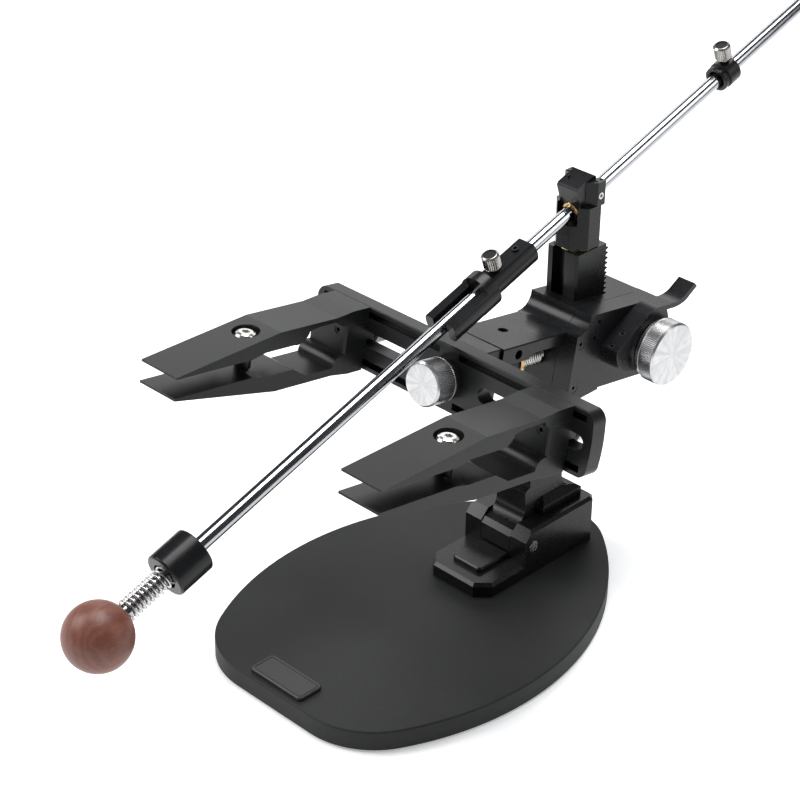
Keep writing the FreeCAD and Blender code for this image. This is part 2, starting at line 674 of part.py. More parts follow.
def build_rotor():
    """What the crossbar turns on: shaft, bearing drum, brass collar and index spring."""
    axis = (clamp_x, clamp_z)
    block_rear = bar_rear + rotor_depth
    half = bar_half_height
    right = bridge_right - 1.6 - clamp_x
    block = prism("y", bar_rear, block_rear, [
        (clamp_x - right, clamp_z + 4 - half), (clamp_x - right + 4, clamp_z - half),
        (clamp_x + right - 4, clamp_z - half), (clamp_x + right, clamp_z + 4 - half),
        (clamp_x + right, clamp_z + half), (clamp_x - right, clamp_z + half)])
    node("rotor_block", HEAD, block)
    drum_rear = nose_rear + 5.0
    neck_radius = drum_radius - 2
    shaft_rear = head_front + 13
    shaft = turned("y", axis, [
        (block_rear, 0), (shaft_rear, 0), (shaft_rear, shaft_radius + 1), (drum_rear + 3.5, shaft_radius + 1),
        (drum_rear + 3.5, neck_radius), (drum_rear, neck_radius), (drum_rear, drum_radius),
        (block_rear, drum_radius)])
    node("rotor_shaft", HEAD, shaft)
    collar = cut(
        cylinder("y", drum_rear + 0.3, drum_rear + 3.2, axis, drum_radius + 1),
        cylinder("y", drum_rear - 1, drum_rear + 5, axis, neck_radius + 0.1))
    node("index_collar", HEAD, collar)
    spring_start = drum_rear + 4.4
    spring_end = head_front - 0.8
    coil_radius = 6.6
    wire = 0.55
    turns = 12
    node("index_spring", HEAD, coil("IndexCoil", axis, spring_start, spring_end, coil_radius, wire, turns))


def coil(name, axis, start, end, radius, wire, turns):
    """A compression spring along Y: a wire of round section swept along a helix."""
    first = as_length(start).value
    last = as_length(end).value
    middle = as_length(radius).value
    thickness = as_length(wire).value
    centre_x, centre_z = (as_length(value).value for value in axis)
    height = last - first
    helix = Part.makeHelix(height / turns, height, middle)
    section = Part.Wire(Part.makeCircle(thickness, Vector(middle, 0, 0), Vector(0, 1, 0)))
    shape = Part.Wire(helix.Edges).makePipeShell([section], True, True)
    shape.Placement = Placement(Vector(centre_x, first, centre_z), TURNED["y"])
    return own_shape(name, shape)


def long_slot(near_x, far_x, side):
    """A slot with round ends through the crossbar, from its hub to its end wall."""
    first = near_x + side * bar_slot_half
    last = far_x - side * bar_slot_half
    x0, x1 = (first, last) if side > 0 else (last, first)
    middle = box(x0, x1, bar_front - 1, bar_rear + 1, clamp_z - bar_slot_half, clamp_z + bar_slot_half)
    ends = [cylinder("y", bar_front - 1, bar_rear + 1, (x, clamp_z), bar_slot_half) for x in (x0, x1)]
    return join(middle, *ends)


def build_crossbar():
    """Crossbar with arched ends; each side has a long slot between two front grooves."""
    low = clamp_z - bar_half_height
    high = clamp_z + bar_half_height
    corner = 7.0
    arch = 108.0
    left = clamp_x - bar_half
    right = clamp_x + bar_half
    sag = 1.6
    bar = prism("y", bar_front, bar_rear, [
        (left + corner, low), (right - corner, low, corner), (right - sag, low + corner, arch),
        (right - sag, high - corner, corner), (right - corner, high), (left + corner, high, corner),
        (left + sag, high - corner, arch), (left + sag, low + corner, corner)])
    bar = bevel(bar, 0.6, lambda c, e: near(c.y, bar_front) and abs(c.x) < 60)
    cuts = []
    groove_start = 7.0
    for side in (-1, 1):
        far_x = clamp_x + side * (bar_half - bar_end_wall)
        cuts.append(long_slot(clamp_x + side * bar_hub_half, far_x, side))
        x0, x1 = sorted((clamp_x + side * groove_start, far_x), key=lambda length: length.value)
        cuts.append(box(x0, x1, bar_front - 1, bar_front + groove_depth,
                        clamp_z + groove_low, clamp_z + groove_high))
        cuts.append(box(x0, x1, bar_front - 1, bar_front + groove_depth,
                        clamp_z - groove_high, clamp_z - groove_low))
    bore = cylinder("y", bar_front - 1, bar_rear + 1, (clamp_x, clamp_z), 4.0 + running_gap)
    node("crossbar", HEAD, cut(bar, *cuts, bore))


def build_front_knob():
    """Knurled knob on a short stud, with a black ring under it."""
    axis = (clamp_x, clamp_z)
    ring_front = bar_front - 4.0
    ring = cut(cylinder("y", ring_front, bar_front, axis, front_knob_radius - 0.8),
               cylinder("y", ring_front - 1, bar_front + 1, axis, 4.2))
    node("knob_ring", HEAD, bevel(ring, 0.6, lambda c, e: near(c.y, ring_front)))
    face = front_knob_face
    knob = turned("y", axis, [
        (face, 0), (bar_rear - 0.5, 0), (bar_rear - 0.5, 4.0), (ring_front - 0.1, 4.0),
        (ring_front - 0.1, front_knob_radius - 0.8), (ring_front - 1.0, front_knob_radius),
        (face + 0.8, front_knob_radius), (face, front_knob_radius - 0.8)])
    node("front_knob", HEAD, knob)


def jaw_side(y, level):
    """A point of a jaw's side view, at a distance from the clamp plane."""
    return (y, clamp_z + level)


def build_clamp(name, middle):
    """One clamp: upper jaw, lower jaw, the block between them, screws and the rear knob."""
    x0 = middle - jaw_width / 2
    x1 = middle + jaw_width / 2
    top = bar_half_height
    screw = (middle, clamp_screw_y)
    fulcrum = (middle + 7.5, clamp_z + 6.4)
    seat = clamp_z + 11.5
    parting = 0.05
    upper = prism("x", x0, x1, [
        jaw_side(jaw_tip, jaw_tip_inner), jaw_side(-178.0, jaw_tip_inner + 0.2), jaw_side(-168.5, jaw_inner),
        (jaw_side(-148.0, jaw_inner) + (9.0,)), jaw_side(-137.0, 13.4), jaw_side(-130.0, jaw_thin),
        jaw_side(-117.0, jaw_thin), (jaw_side(-114.0, jaw_thin) + (4.2,)), jaw_side(-109.8, block_top),
        jaw_side(jaw_back, block_top), jaw_side(jaw_back, top), jaw_side(-104.0, top),
        jaw_side(-117.0, jaw_flat), jaw_side(-159.0, jaw_flat), jaw_side(jaw_tip, jaw_tip_outer)])
    head_room = cylinder("z", seat, clamp_z + top + 1, screw, 7.7)
    shank_room = cylinder("z", clamp_z, clamp_z + top, screw, clamp_screw_radius + 0.3)
    rib_half = 11.0
    rib = box(middle - rib_half, middle + rib_half, jaw_back - 1, bar_front + groove_depth - 1.2,
              clamp_z + groove_low + fold_gap, clamp_z + groove_high - fold_gap)
    node(f"upper_jaw_{name}", HEAD, cut(join(upper, rib), head_room, shank_room))
    hinge_back = jaw_back - 0.7
    hinge_level = -block_bottom
    lower = prism("x", x0, x1, [
        jaw_side(jaw_tip, -jaw_tip_outer - 0.7), jaw_side(-159.0, -jaw_flat), jaw_side(-117.0, -jaw_flat),
        jaw_side(-104.0, -top), jaw_side(hinge_back, -top), jaw_side(hinge_back, hinge_level),
        (jaw_side(-110.2, hinge_level) + (6.3,)), jaw_side(-116.4, -block_bottom - 6.1),
        jaw_side(-137.0, -block_bottom - 6.1), jaw_side(-147.5, 0.6 - jaw_inner),
        jaw_side(-168.5, 0.6 - jaw_inner), jaw_side(-176.0, -jaw_tip_inner - 0.3),
        jaw_side(jaw_tip, -jaw_tip_inner - 0.6)])
    screw_hole = cylinder("z", clamp_z - top, clamp_z, screw, clamp_screw_radius + lower_opening)
    node(f"lower_jaw_{name}", HEAD, cut(lower, screw_hole))
    post = box(x0, x1, block_front, jaw_back,
               clamp_z - block_bottom + parting, clamp_z + block_top - parting)
    post = bevel(post, 1.2, lambda c, e: near(c.y, block_front) and e.BoundBox.ZLength > 5)
    tongue_half = bar_slot_half - 0.8
    tongue = box(x0 + 4, x1 - 4, jaw_back, bar_rear + 0.4, clamp_z - tongue_half, clamp_z + tongue_half)
    tap = cylinder("y", block_front - 1, block_front + 8, fulcrum, 2.5)
    stud_hole = cylinder("y", -100, bar_rear + 1, (middle, clamp_z), 3.0 + running_gap)
    node(f"clamp_block_{name}", HEAD, cut(join(post, tongue), tap, stud_hole))
    fulcrum_screw = socket_screw("y", block_front + 0.3, 1, fulcrum, as_length(2.5), 6.0, 2.5)
    node(f"fulcrum_screw_{name}", HEAD, fulcrum_screw)
    bolt_end = clamp_z - jaw_flat + 3.0
    bolt = turned("z", screw, [
        (bolt_end, 0), (seat + 3.7, 0), (seat + 3.7, 4.0), (seat + 3.0, 5.4), (seat + 1.4, 6.4),
        (seat + 0.05, 6.4), (seat + 0.05, clamp_screw_radius), (bolt_end, clamp_screw_radius)])
    slot = hexagon("z", seat + 1.2, seat + 5, screw, 2.4)
    node(f"clamp_screw_{name}", HEAD, cut(bolt, slot))
    sleeve_end = clamp_z + jaw_tip_inner - 0.05
    sleeve_start = clamp_z - jaw_tip_inner - 0.1
    sleeve = cut(cylinder("z", sleeve_start, sleeve_end, screw, 4.5),
                 cylinder("z", sleeve_start - 1, sleeve_end + 1, screw, clamp_screw_radius + 0.25))
    node(f"clamp_sleeve_{name}", HEAD, sleeve)
    start = bar_rear + 0.5
    end = start + jaw_knob_length
    rim = jaw_knob_radius
    stud_end = jaw_back - 7.2
    knob = turned("y", (middle, clamp_z), [
        (stud_end, 0), (end, 0), (end, rim - 0.8), (end - 0.8, rim), (start + 3.4, rim),
        (start + 2.4, rim - 1.2), (start, rim - 1.2), (start, 3.0), (stud_end, 3.0)])
    node(f"jaw_knob_{name}", HEAD, knob)


# ---------------------------------------------------------------- column drive
def build_pinion():
    """Gear on its shaft, the knurled knob and the lock lever."""
    pitch_radius = gear_module.value * gear_teeth / 2
    root = pitch_radius - 1.25 * gear_module.value
    tip = pitch_radius + gear_module.value
    tooth = math.pi * gear_module.value / 2
    slack = 0.14
    corners = []
    world_down = math.radians(head_pitch.value)
    for number in range(gear_teeth):
        # one gap faces the rack's pitch point, straight to the front in the stand's frame
        middle = math.pi + world_down + (number + 0.5) * 2 * math.pi / gear_teeth
        half_tip = (tooth / 2 - 0.42 * gear_module.value - slack) / tip
        half_root = (tooth / 2 + 0.34 * gear_module.value - slack) / root
        for radius, half in ((root, -half_root), (tip, -half_tip), (tip, half_tip), (root, half_root)):
            corners.append(Vector(0, radius * math.cos(middle + half), radius * math.sin(middle + half)))
    teeth = Part.Face(Part.makePolygon(corners + corners[:1])).extrude(Vector(16, 0, 0))
    teeth.translate(Vector(-8, gear_y.value, gear_z.value))
    shaft = cylinder("x", -8, knob_face - knob_width + 4, (gear_y, gear_z), shaft_radius)
    node("pinion_shaft", HEAD, join(own_shape("PinionTeeth", teeth), shaft))
    rear = knob_face - knob_width
    shoulder = lever_outer + 0.4
    knob = turned("x", (gear_y, gear_z), [
        (shoulder, 0), (knob_face - 0.6, 0), (knob_face - 0.6, 3.0), (knob_face, 3.4),
        (knob_face, knob_radius - 1.2), (knob_face - 1.2, knob_radius), (rear + 1, knob_radius),
        (rear, knob_radius - 1), (rear, knob_radius - 1.6), (shoulder, knob_radius - 1.6)])
    bore = cylinder("x", shoulder - 1, rear + 4, (gear_y, gear_z), shaft_radius)
    node("pinion_knob", HEAD, cut(knob, bore))


def build_lever():
    """Lock lever: a cam hub round the shaft and a blade that curves up to the thumb."""
    inner = head_right + 0.3
    hub = prism("x", inner, lever_outer, [
        (18.5, -34.3), (36.0, -36.8, 13.6), (51.0, -24.0), (47.5, -9.0), (44.0, -1.9), (48.3, -1.9, 26.0),
        (60.6, 0.7), (68.9, 7.7), (66.5, 9.9), (58.6, 3.6, -22.0), (48.3, 1.2), (36.0, 1.2, 20.0),
        (25.7, -2.9), (3.6, -19.8, 15.0)])
    face_middle = (9.5, -15.3)
    holes = []
    grubs = []
    slope = math.degrees(math.atan2(16.9, 22.1))
    for shift in (-4.9, 4.9):
        along = math.radians(slope)
        y = face_middle[0] + shift * math.cos(along)
        z = face_middle[1] + shift * math.sin(along)
        frame = Placement(Vector((inner.value + lever_outer.value) / 2, y, z),
                          Rotation(Vector(1, 0, 0), slope))
        hole = doc.addObject("Part::Compound", "LeverHole")
        hole.Links = [cylinder("z", -8, 3, (0, 0), 1.75)]
        hole.Placement = frame
        holes.append(hole)
        grub = doc.addObject("Part::Compound", "LeverGrub")
        grub.Links = [socket_screw("z", as_length(-0.5), -1, (0, 0), as_length(1.75), 5.5)]
        grub.Placement = frame
        grubs.append(grub)
    bore = cylinder("x", inner - 1, lever_outer + 1, (gear_y, gear_z), shaft_radius + running_gap)
    node("lock_lever", HEAD, cut(hub, bore, *holes))
    node("lever_screws", HEAD, *grubs)


def build_column():
    """Geared column, brass washer, and the turning head with its two cheeks."""
    pitch = math.pi * gear_module.value
    world_gear = HEAD.multVec(Vector(0, gear_y.value, gear_z.value))
    body = box(-column_half, column_half, column_front, column_root, column_bottom, column_top)
    body = bevel(body, 1.0, lambda c, e: near(c.y, column_front) and e.BoundBox.ZLength > 5)
    slot = box(-7.0, 2.0, column_front - 1, column_front + 5, column_bottom - 1, column_top + 1)
    bore = cylinder("z", column_top - 22, column_top + 1, (0, column_y), 4.0 + running_gap)
    height = 2.25 * gear_module.value
    half_root = pitch / 4 + 0.37 * gear_module.value
    half_tip = pitch / 4 - 0.48 * gear_module.value
    rack_left = 3.25 - column_half.value
    rack_right = column_half.value - 0.25
    teeth = []
    count = int((column_top.value - column_bottom.value) / pitch) - 1
    below = int((world_gear.z - column_bottom.value) / pitch)
    for number in range(-below + 1, count - below):
        z = world_gear.z + number * pitch
        rear = column_root.value
        side_view = [(rear - 0.3, z - half_root), (rear, z - half_root), (rear + height, z - half_tip),
                     (rear + height, z + half_tip), (rear, z + half_root), (rear - 0.3, z + half_root)]
        corners = [Vector(rack_left, y, level) for y, level in side_view]
        tooth = Part.Face(Part.makePolygon(corners + corners[:1]))
        teeth.append(tooth.extrude(Vector(rack_right - rack_left, 0, 0)))
    rack = own_shape("RackTeeth", Part.makeCompound(teeth))
    node("rack_column", STAND, join(cut(body, slot, bore), rack))
    washer_top = column_top + washer_thickness
    washer = cut(cylinder("z", column_top, washer_top - 0.05, (0, column_y), 10.2),
                 cylinder("z", column_top - 1, washer_top + 1, (0, column_y), 4.3))
    node("column_washer", STAND, washer)
    build_column_head(washer_top)


def octagon(half, corner):
    """A square with cut corners round the column axis."""
    y0 = column_y - half
    y1 = column_y + half
    return [
        (corner - half, y0), (half - corner, y0), (half, y0 + corner), (half, y1 - corner),
        (half - corner, y1), (corner - half, y1), (-half, y1 - corner), (-half, y0 + corner)]


def build_column_head(washer_top):
    """Octagonal head with a fork for the swivel, pivot screws and clamping grubs."""
    trunk = prism("z", washer_top, fork_floor, octagon(neck_half, neck_corner))
    side = swivel_half + 0.25
    fork = prism("z", fork_floor - 0.5, cheek_foot, octagon(neck_half, neck_corner))
    fork = cut(fork, box(-side, side, 60, 130, fork_floor - 1, cheek_foot + 1))
    front = swivel_y - 7.6
    flank = swivel_y - 2.6
    rear = swivel_y + 3.6
    cheeks = [fork]
    for way in (-1, 1):
        plan = [(way * side, front), (way * neck_half, flank), (way * neck_half, rear), (way * side, rear)]
        cheeks.append(prism("z", cheek_foot - 0.5, cheek_top, plan))
    stem = cylinder("z", column_top - 20, washer_top + 1, (0, column_y), 4.0)
    pivot = cylinder("x", -neck_half - 2, neck_half + 2, (swivel_y, swivel_z), pivot_radius + 0.05)
    grub_places = [(x, y) for x in (-10.3, 10.3) for y in (swivel_y - 2.2, swivel_y + 1.6)]
    taps = [cylinder("z", cheek_top - 3.0, cheek_top + 1, place_, 1.0) for place_ in grub_places]
    node("column_head", STAND, cut(join(trunk, *cheeks, stem), pivot, *taps))
    grubs = [socket_screw("z", cheek_top - 0.3, -1, place_, as_length(1.0), 2.4, 1.0)
             for place_ in grub_places]
    node("cheek_grubs", STAND, *grubs)
    pivots = []
    outer = neck_half + 0.2
    inner = swivel_half - 1.8
    for way in (-1, 1):
        low, high = (inner, outer) if way > 0 else (-outer, -inner)
        body = cylinder("x", low, high, (swivel_y, swivel_z), pivot_radius)
        face = outer if way > 0 else -outer
        floor, mouth = (face - 1.6, face + 1) if way > 0 else (face - 1, face + 1.6)
        pivots.append(cut(body, hexagon("x", floor, mouth, (swivel_y, swivel_z), 1.1)))
    node("pivot_screws", STAND, *pivots)


# ---------------------------------------------------------------- rod and holders
def build_swivel():
    """Swivel block, its bronze bushing and the grub that holds the bushing."""
    axis = (0, 0)
    rise = swivel_z - rod_z
    back = swivel_y - column_y
    pivot_along = back * rod_slope_cosine + rise * rod_slope_sine
    pivot_above = rise * rod_slope_cosine - back * rod_slope_sine
    pivot = (pivot_along, pivot_above)
    block = prism("x", -swivel_half, swivel_half, [
        (-3.2, -7.0), (7.0, -7.0), (10.0, -4.0), (10.0, 15.5), (8.7, 16.8), (-4.9, 16.8), (-6.2, 15.5),
        (-6.2, -4.0)])
    bore = cylinder("y", -7, 11, axis, bushing_radius + bushing_gap)
    side_hole = cylinder("x", -swivel_half - 1, swivel_half + 1, pivot, pivot_radius + 0.05)
    place_ = (-4.0, 0.8)
    tap = cylinder("z", 4.5, 19, place_, 1.5)
    node("swivel_block", ROD, cut(block, bore, side_hole, tap))
    bushing_front = -7.4
    shell = cylinder("y", bushing_front, 10.4, axis, bushing_radius)
    shell = bevel(shell, 0.5, lambda c, e: near(c.y, bushing_front))
    bushing = cut(shell, cylinder("y", -9, 11, axis, rod_radius + rod_gap))
    node("bushing", ROD, bushing)
    node("swivel_grub", ROD, socket_screw("z", as_length(16.2), -1, place_, as_length(1.45), 8.0, 1.4))


def build_rod():
    """Polished rod, wooden ball, front holder and the spring that presses it."""
    axis = (0, 0)
    rod = cylinder("y", rod_front, rod_rear, axis, rod_radius)
    node("guide_rod", ROD, bevel(rod, 0.6, lambda c, e: near(c.y, rod_rear)))
    ball = doc.addObject("Part::Sphere", "Ball")
    bind(ball, "Radius", ball_radius)
    place(ball, 0, ball_along, 0)
    flat = ball_along + ball_radius - 0.6
    bore = cylinder("y", rod_front - 0.5, 0, axis, rod_radius + 0.02)
    node("ball_handle", ROD, cut(ball, bore, box(-20, 20, flat, flat + 5, -20, 20)))
    start = front_holder_start
    end = front_holder_end
    pocket = 5.0
    holder = turned("y", axis, [
        (start, rod_spring_radius + 1.6), (start + pocket, rod_spring_radius + 1.6),
        (start + pocket, rod_radius + rod_gap), (end, rod_radius + rod_gap),
        (end, front_holder_radius - 0.8), (end - 0.8, front_holder_radius),
        (start + 0.8, front_holder_radius), (start, front_holder_radius - 0.8)])
    node("front_holder", ROD, holder)
    ball_reach = math.sqrt(ball_radius.value ** 2 - rod_spring_radius.value ** 2)
    spring_start = ball_along + ball_reach + rod_spring_wire + 0.48
    spring_end = start + pocket - rod_spring_wire - 0.1
    node("rod_spring", ROD, coil("RodCoil", (as_length(0), as_length(0)), spring_start, spring_end,
                                 rod_spring_radius, rod_spring_wire, rod_spring_turns))


def build_rear_holder():
    """Sleeve with a flat, two-pronged fork screwed on it, thumb screw and socket screw."""
    axis = (0, 0)
    sleeve = cylinder("y", flange_rear, sleeve_rear, axis, sleeve_radius)
    flat = box(-10, 10, flange_rear - 1, sleeve_rear + 1, sleeve_flat, 12)
    bore = cylinder("y", fork_tip - 1, sleeve_rear + 1, axis, rod_radius + rod_gap)
    tap = cylinder("z", 3, 12, (0, holder_thumb), 2.05)
    socket_place = (0, as_length(-52.0))
    socket_tap = cylinder("z", 4.5, 12, socket_place, 2.05)
    sleeve = bevel(cut(sleeve, flat), 0.8, lambda c, e: near(c.y, sleeve_rear))
    node("holder_sleeve", ROD, cut(sleeve, bore, tap, socket_tap))
    round_part = cylinder("y", fork_tip, flange_rear - 0.05, axis, flange_radius)
    low_flat = box(-12, 12, fork_tip - 1, flange_rear + 1, -12, -8.0)
    middle = box(-4.9, 4.9, fork_tip - 1, flange_front, -12, 12)
    top = box(-12, 12, fork_tip - 1, flange_front - 0.8, 4.4, 12)
    under = box(-12, 12, fork_tip - 1, flange_front - 5, -12, -5.8)
    fork_bore = cylinder("y", fork_tip - 1, sleeve_rear + 1, axis, rod_radius + rod_gap)
    node("holder_fork", ROD, cut(round_part, low_flat, middle, top, under, fork_bore))
    node("holder_thumb_screw", ROD, thumb_screw(holder_thumb, sleeve_flat))
    head = cylinder("z", sleeve_flat - 1.3, sleeve_flat + 1.2, socket_place, 2.0)
    socket = hexagon("z", sleeve_flat - 0.4, sleeve_flat + 2, socket_place, 1.2)
    node("holder_grub", ROD, cut(head, socket))


def build_stop():
    """Stop collar with a stepped front and its thumb screw."""
    axis = (0, 0)
    inner = rod_radius + rod_gap
    groove = stop_radius - 1.4
    collar = turned("y", axis, [
        (stop_front + 2.5, inner), (stop_rear, inner),
        (stop_rear, stop_radius - 0.8), (stop_rear - 0.8, stop_radius),
        (stop_front + 4.6, stop_radius), (stop_front + 4.0, groove), (stop_front + 2.8, groove),
        (stop_front + 2.2, stop_radius - 0.4), (stop_front, stop_radius - 0.6), (stop_front, inner + 1.6)])
    place_ = (stop_front + stop_rear) / 2 + 2.0
    tap = cylinder("z", 3, 12, (0, place_), 2.05)
    node("stop_collar", ROD, cut(collar, tap))
    node("stop_thumb_screw", ROD, thumb_screw(place_, stop_radius))


def check_and_write():
    """Stop on any failed object, then write one STEP file for each sub-part."""
    doc.recompute()
    failed = [item.Label for item in doc.Objects if {"Invalid", "Error"} & set(item.State)]
    if failed:
        raise RuntimeError(f"failed objects: {failed}")
    os.makedirs("parts", exist_ok=True)
    for item in NODES:
        shape = item.Shape
        if shape.isNull() or not shape.isValid() or not shape.Solids:
            raise RuntimeError(f"{item.Label} has no sound shape")
        if abs(shape.Volume) < 0.5:
            raise RuntimeError(f"{item.Label} is empty")
        shape.exportStep(f"parts/{item.Label}.step")
        print(f"{item.Label}: {len(shape.Solids)} solid(s), {shape.Volume:.0f} mm3")


build_base()
build_foot_bracket()
build_latch()
build_arm()
build_housing()
build_bridge()
build_rotor()
build_crossbar()
build_front_knob()
build_clamp("left", clamp_x - jaw_offset - 0.3)
build_clamp("right", clamp_x + jaw_offset - 0.3)
build_pinion()
build_lever()
build_column()
build_swivel()
build_rod()
build_rear_holder()
build_stop()
check_and_write()
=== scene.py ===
# %% [markdown]
# # A guided-rod sharpener in a small studio
#
# The sharpener arrives as a finished frame of metal parts, each in its place.  This lesson gives
# every part the finish that it has on a real bench: black anodised aluminium, a powder-coated
# base, turned and knurled knobs, a ground steel rod and a small wooden ball.  A few pieces are
# worked out again with numpy, because a knurl or a polished round needs a finer surface.

import json
import math

import bpy
import numpy as np
from mathutils import Matrix, Vector


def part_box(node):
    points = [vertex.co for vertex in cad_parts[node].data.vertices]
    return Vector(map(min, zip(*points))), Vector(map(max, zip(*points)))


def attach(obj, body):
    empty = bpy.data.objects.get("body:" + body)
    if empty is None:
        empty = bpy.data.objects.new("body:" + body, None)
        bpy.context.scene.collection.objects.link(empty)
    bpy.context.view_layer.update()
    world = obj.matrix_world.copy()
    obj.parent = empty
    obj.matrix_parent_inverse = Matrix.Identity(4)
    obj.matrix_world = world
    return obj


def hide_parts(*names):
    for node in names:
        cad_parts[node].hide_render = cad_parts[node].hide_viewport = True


MM = 0.001
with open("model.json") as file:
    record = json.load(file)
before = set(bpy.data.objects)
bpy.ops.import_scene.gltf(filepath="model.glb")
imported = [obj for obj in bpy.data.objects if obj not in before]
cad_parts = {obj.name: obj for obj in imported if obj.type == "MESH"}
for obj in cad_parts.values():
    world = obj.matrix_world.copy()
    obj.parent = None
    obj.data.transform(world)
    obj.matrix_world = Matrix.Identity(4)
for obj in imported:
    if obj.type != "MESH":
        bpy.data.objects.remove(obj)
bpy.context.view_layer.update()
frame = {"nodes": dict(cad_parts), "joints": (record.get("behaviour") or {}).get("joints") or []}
print("parts in the frame:", len(frame["nodes"]))

# %% [markdown]
# ## Where the turned parts sit
#
# Three directions describe the whole tool.  The head is tipped nose-up by a few degrees, the rod
# slopes down towards the handle, and everything else is upright.  The joints in the record know
# the axes exactly, so the axes are read from there and nothing has to be measured by eye.

# %% Axes from the joints
JOINTS = {joint["name"]: joint for joint in frame["joints"]}


def joint_axis(name):
    """The direction of a joint, as a unit vector."""
    return Vector(JOINTS[name]["axis"]).normalized()


def joint_point(name):
    """A point on the axis of a hinge."""
    return Vector(JOINTS[name]["pos_m"])


def frame_along(direction, hint=Vector((1, 0, 0))):
    """A turn whose third column is the direction, and whose first is as near to the hint as it can be."""
    third = Vector(direction).normalized()
    first = (hint - third * hint.dot(third)).normalized()
    second = third.cross(first)
    return np.array([first, second, third], float).T


HEAD_AXIS = joint_axis("clamp_turn")
ROD_AXIS = joint_axis("rod_slide")
ROD_UP = joint_axis("stop_thumb_turn")
print("head tips by", round(math.degrees(math.asin(-HEAD_AXIS.z)), 2), "degrees")
print("rod slopes by", round(math.degrees(math.asin(ROD_AXIS.z)), 2), "degrees")


# %% [markdown]
# ## Shader sums as plain Python
#
# A finish is mostly arithmetic: this noise times that mask, plus a little.  `Number` wraps one
# socket of a node, and its operators add the Math nodes, so a finish reads like a formula.  The
# forms with an r in their name serve when the plain number stands first, as in 1 - mask.

# %% A socket that can be added and multiplied
class Number:
    """One value that changes over a surface."""

    def __init__(self, finish, socket):
        self.finish = finish
        self.socket = socket

    def math(self, operation, first, second):
        """A Math node on two values or sockets."""
        return self.finish.node("ShaderNodeMath", {"operation": operation}, {0: first, 1: second})

    def __add__(self, other):
        return self.math("ADD", self, other)

    def __radd__(self, other):
        return self.math("ADD", other, self)

    def __sub__(self, other):
        return self.math("SUBTRACT", self, other)

    def __rsub__(self, other):
        return self.math("SUBTRACT", other, self)

    def __mul__(self, other):
        return self.math("MULTIPLY", self, other)

    def __rmul__(self, other):
        return self.math("MULTIPLY", other, self)

    def between(self, low, high):
        """0 below low, 1 above high, and smooth between them."""
        settings = {"interpolation_type": "SMOOTHSTEP"}
        inputs = {"Value": self, "From Min": low, "From Max": high}
        return self.finish.node("ShaderNodeMapRange", settings, inputs)


# %% [markdown]
# ## One material, many nodes
#
# A material is a tree of nodes that ends in one shader.  `Finish` holds the tree, and its `node`
# method makes any node from a type, its settings and its inputs.  The other methods are the few
# patterns that nearly every finish here is mixed from: noise, scattered cells, worn edges, bumps.

# %% A finish and its nodes
class Finish:
    """A material and the nodes in it."""

    def __init__(self, name):
        self.material = bpy.data.materials.new(name)
        self.material.use_nodes = True
        self.tree = self.material.node_tree
        self.tree.nodes.clear()
        self.shader = self.tree.nodes.new("ShaderNodeBsdfPrincipled")
        output = self.tree.nodes.new("ShaderNodeOutputMaterial")
        self.tree.links.new(self.shader.outputs[0], output.inputs[0])

    def feed(self, socket, value):
        """Link a socket to another, or set it."""
        if isinstance(value, Number):
            self.tree.links.new(value.socket, socket)
        elif isinstance(value, tuple) and len(value) == 3 and socket.type == "RGBA":
            socket.default_value = (*value, 1.0)
        else:
            socket.default_value = value

    def node(self, kind, settings=None, inputs=None, output=0):
        """Make a node: its type, its settings, what its sockets take, and the output wanted."""
        made = self.tree.nodes.new(kind)
        for name, value in (settings or {}).items():
            if name == "stops":
                for stop, (place, colour) in zip(self.stops(made, len(value)), value):
                    stop.position = place
                    stop.color = (*colour, 1.0)
            else:
                setattr(made, name, value)
        for name, value in (inputs or {}).items():
            self.feed(made.inputs[name], value)
        return Number(self, made.outputs[output])

    def stops(self, ramp, count):
        """The stops of a colour ramp, as many as asked for."""
        elements = ramp.color_ramp.elements
        while len(elements) < count:
            elements.new(0.5)
        return elements

    def place(self, scale=(1, 1, 1), turn=(0, 0, 0)):
        """Object coordinates in millimetres, stretched and turned."""
        coordinates = self.node("ShaderNodeTexCoord", output=3)
        per_mm = tuple(factor / MM for factor in scale)
        inputs = {"Vector": coordinates, "Scale": per_mm, "Rotation": turn}
        return self.node("ShaderNodeMapping", {}, inputs)

    def noise(self, vector, per_mm, detail=3.0, roughness=0.55):
        """Soft noise from 0 to 1, with so many lumps to the millimetre."""
        inputs = {"Vector": vector, "Scale": per_mm, "Detail": detail, "Roughness": roughness}
        return self.node("ShaderNodeTexNoise", {}, inputs)

    def cells(self, vector, per_mm):
        """Distance to the nearest of many scattered points."""
        return self.node("ShaderNodeTexVoronoi", {}, {"Vector": vector, "Scale": per_mm})

    def mix(self, share, first, second):
        """A colour between two colours."""
        inputs = {0: share, 6: first, 7: second}
        return self.node("ShaderNodeMix", {"data_type": "RGBA"}, inputs, output=2)

    def edges(self, radius_mm):
        """Near 1 on sharp edges and 0 on flats: 1 - rounded normal . surface normal."""
        rounded = self.node("ShaderNodeBevel", {"samples": 4}, {"Radius": radius_mm * MM})
        surface = self.node("ShaderNodeNewGeometry", output=1)
        product = {"operation": "DOT_PRODUCT"}
        agreement = self.node("ShaderNodeVectorMath", product, {0: rounded, 1: surface}, output=1)
        return (1 - agreement).between(0.01, 0.16)

    def bump(self, height, depth_mm, strength=1.0):
        """A normal from a height that runs from 0 to 1 over a depth."""
        inputs = {"Height": height, "Distance": depth_mm * MM, "Strength": strength}
        return self.node("ShaderNodeBump", {}, inputs)

    def set(self, **sockets):
        """Set the shader's sockets by name, with _ for a space."""
        for name, value in sockets.items():
            self.feed(self.shader.inputs[name.replace("_", " ")], value)
        return self.material


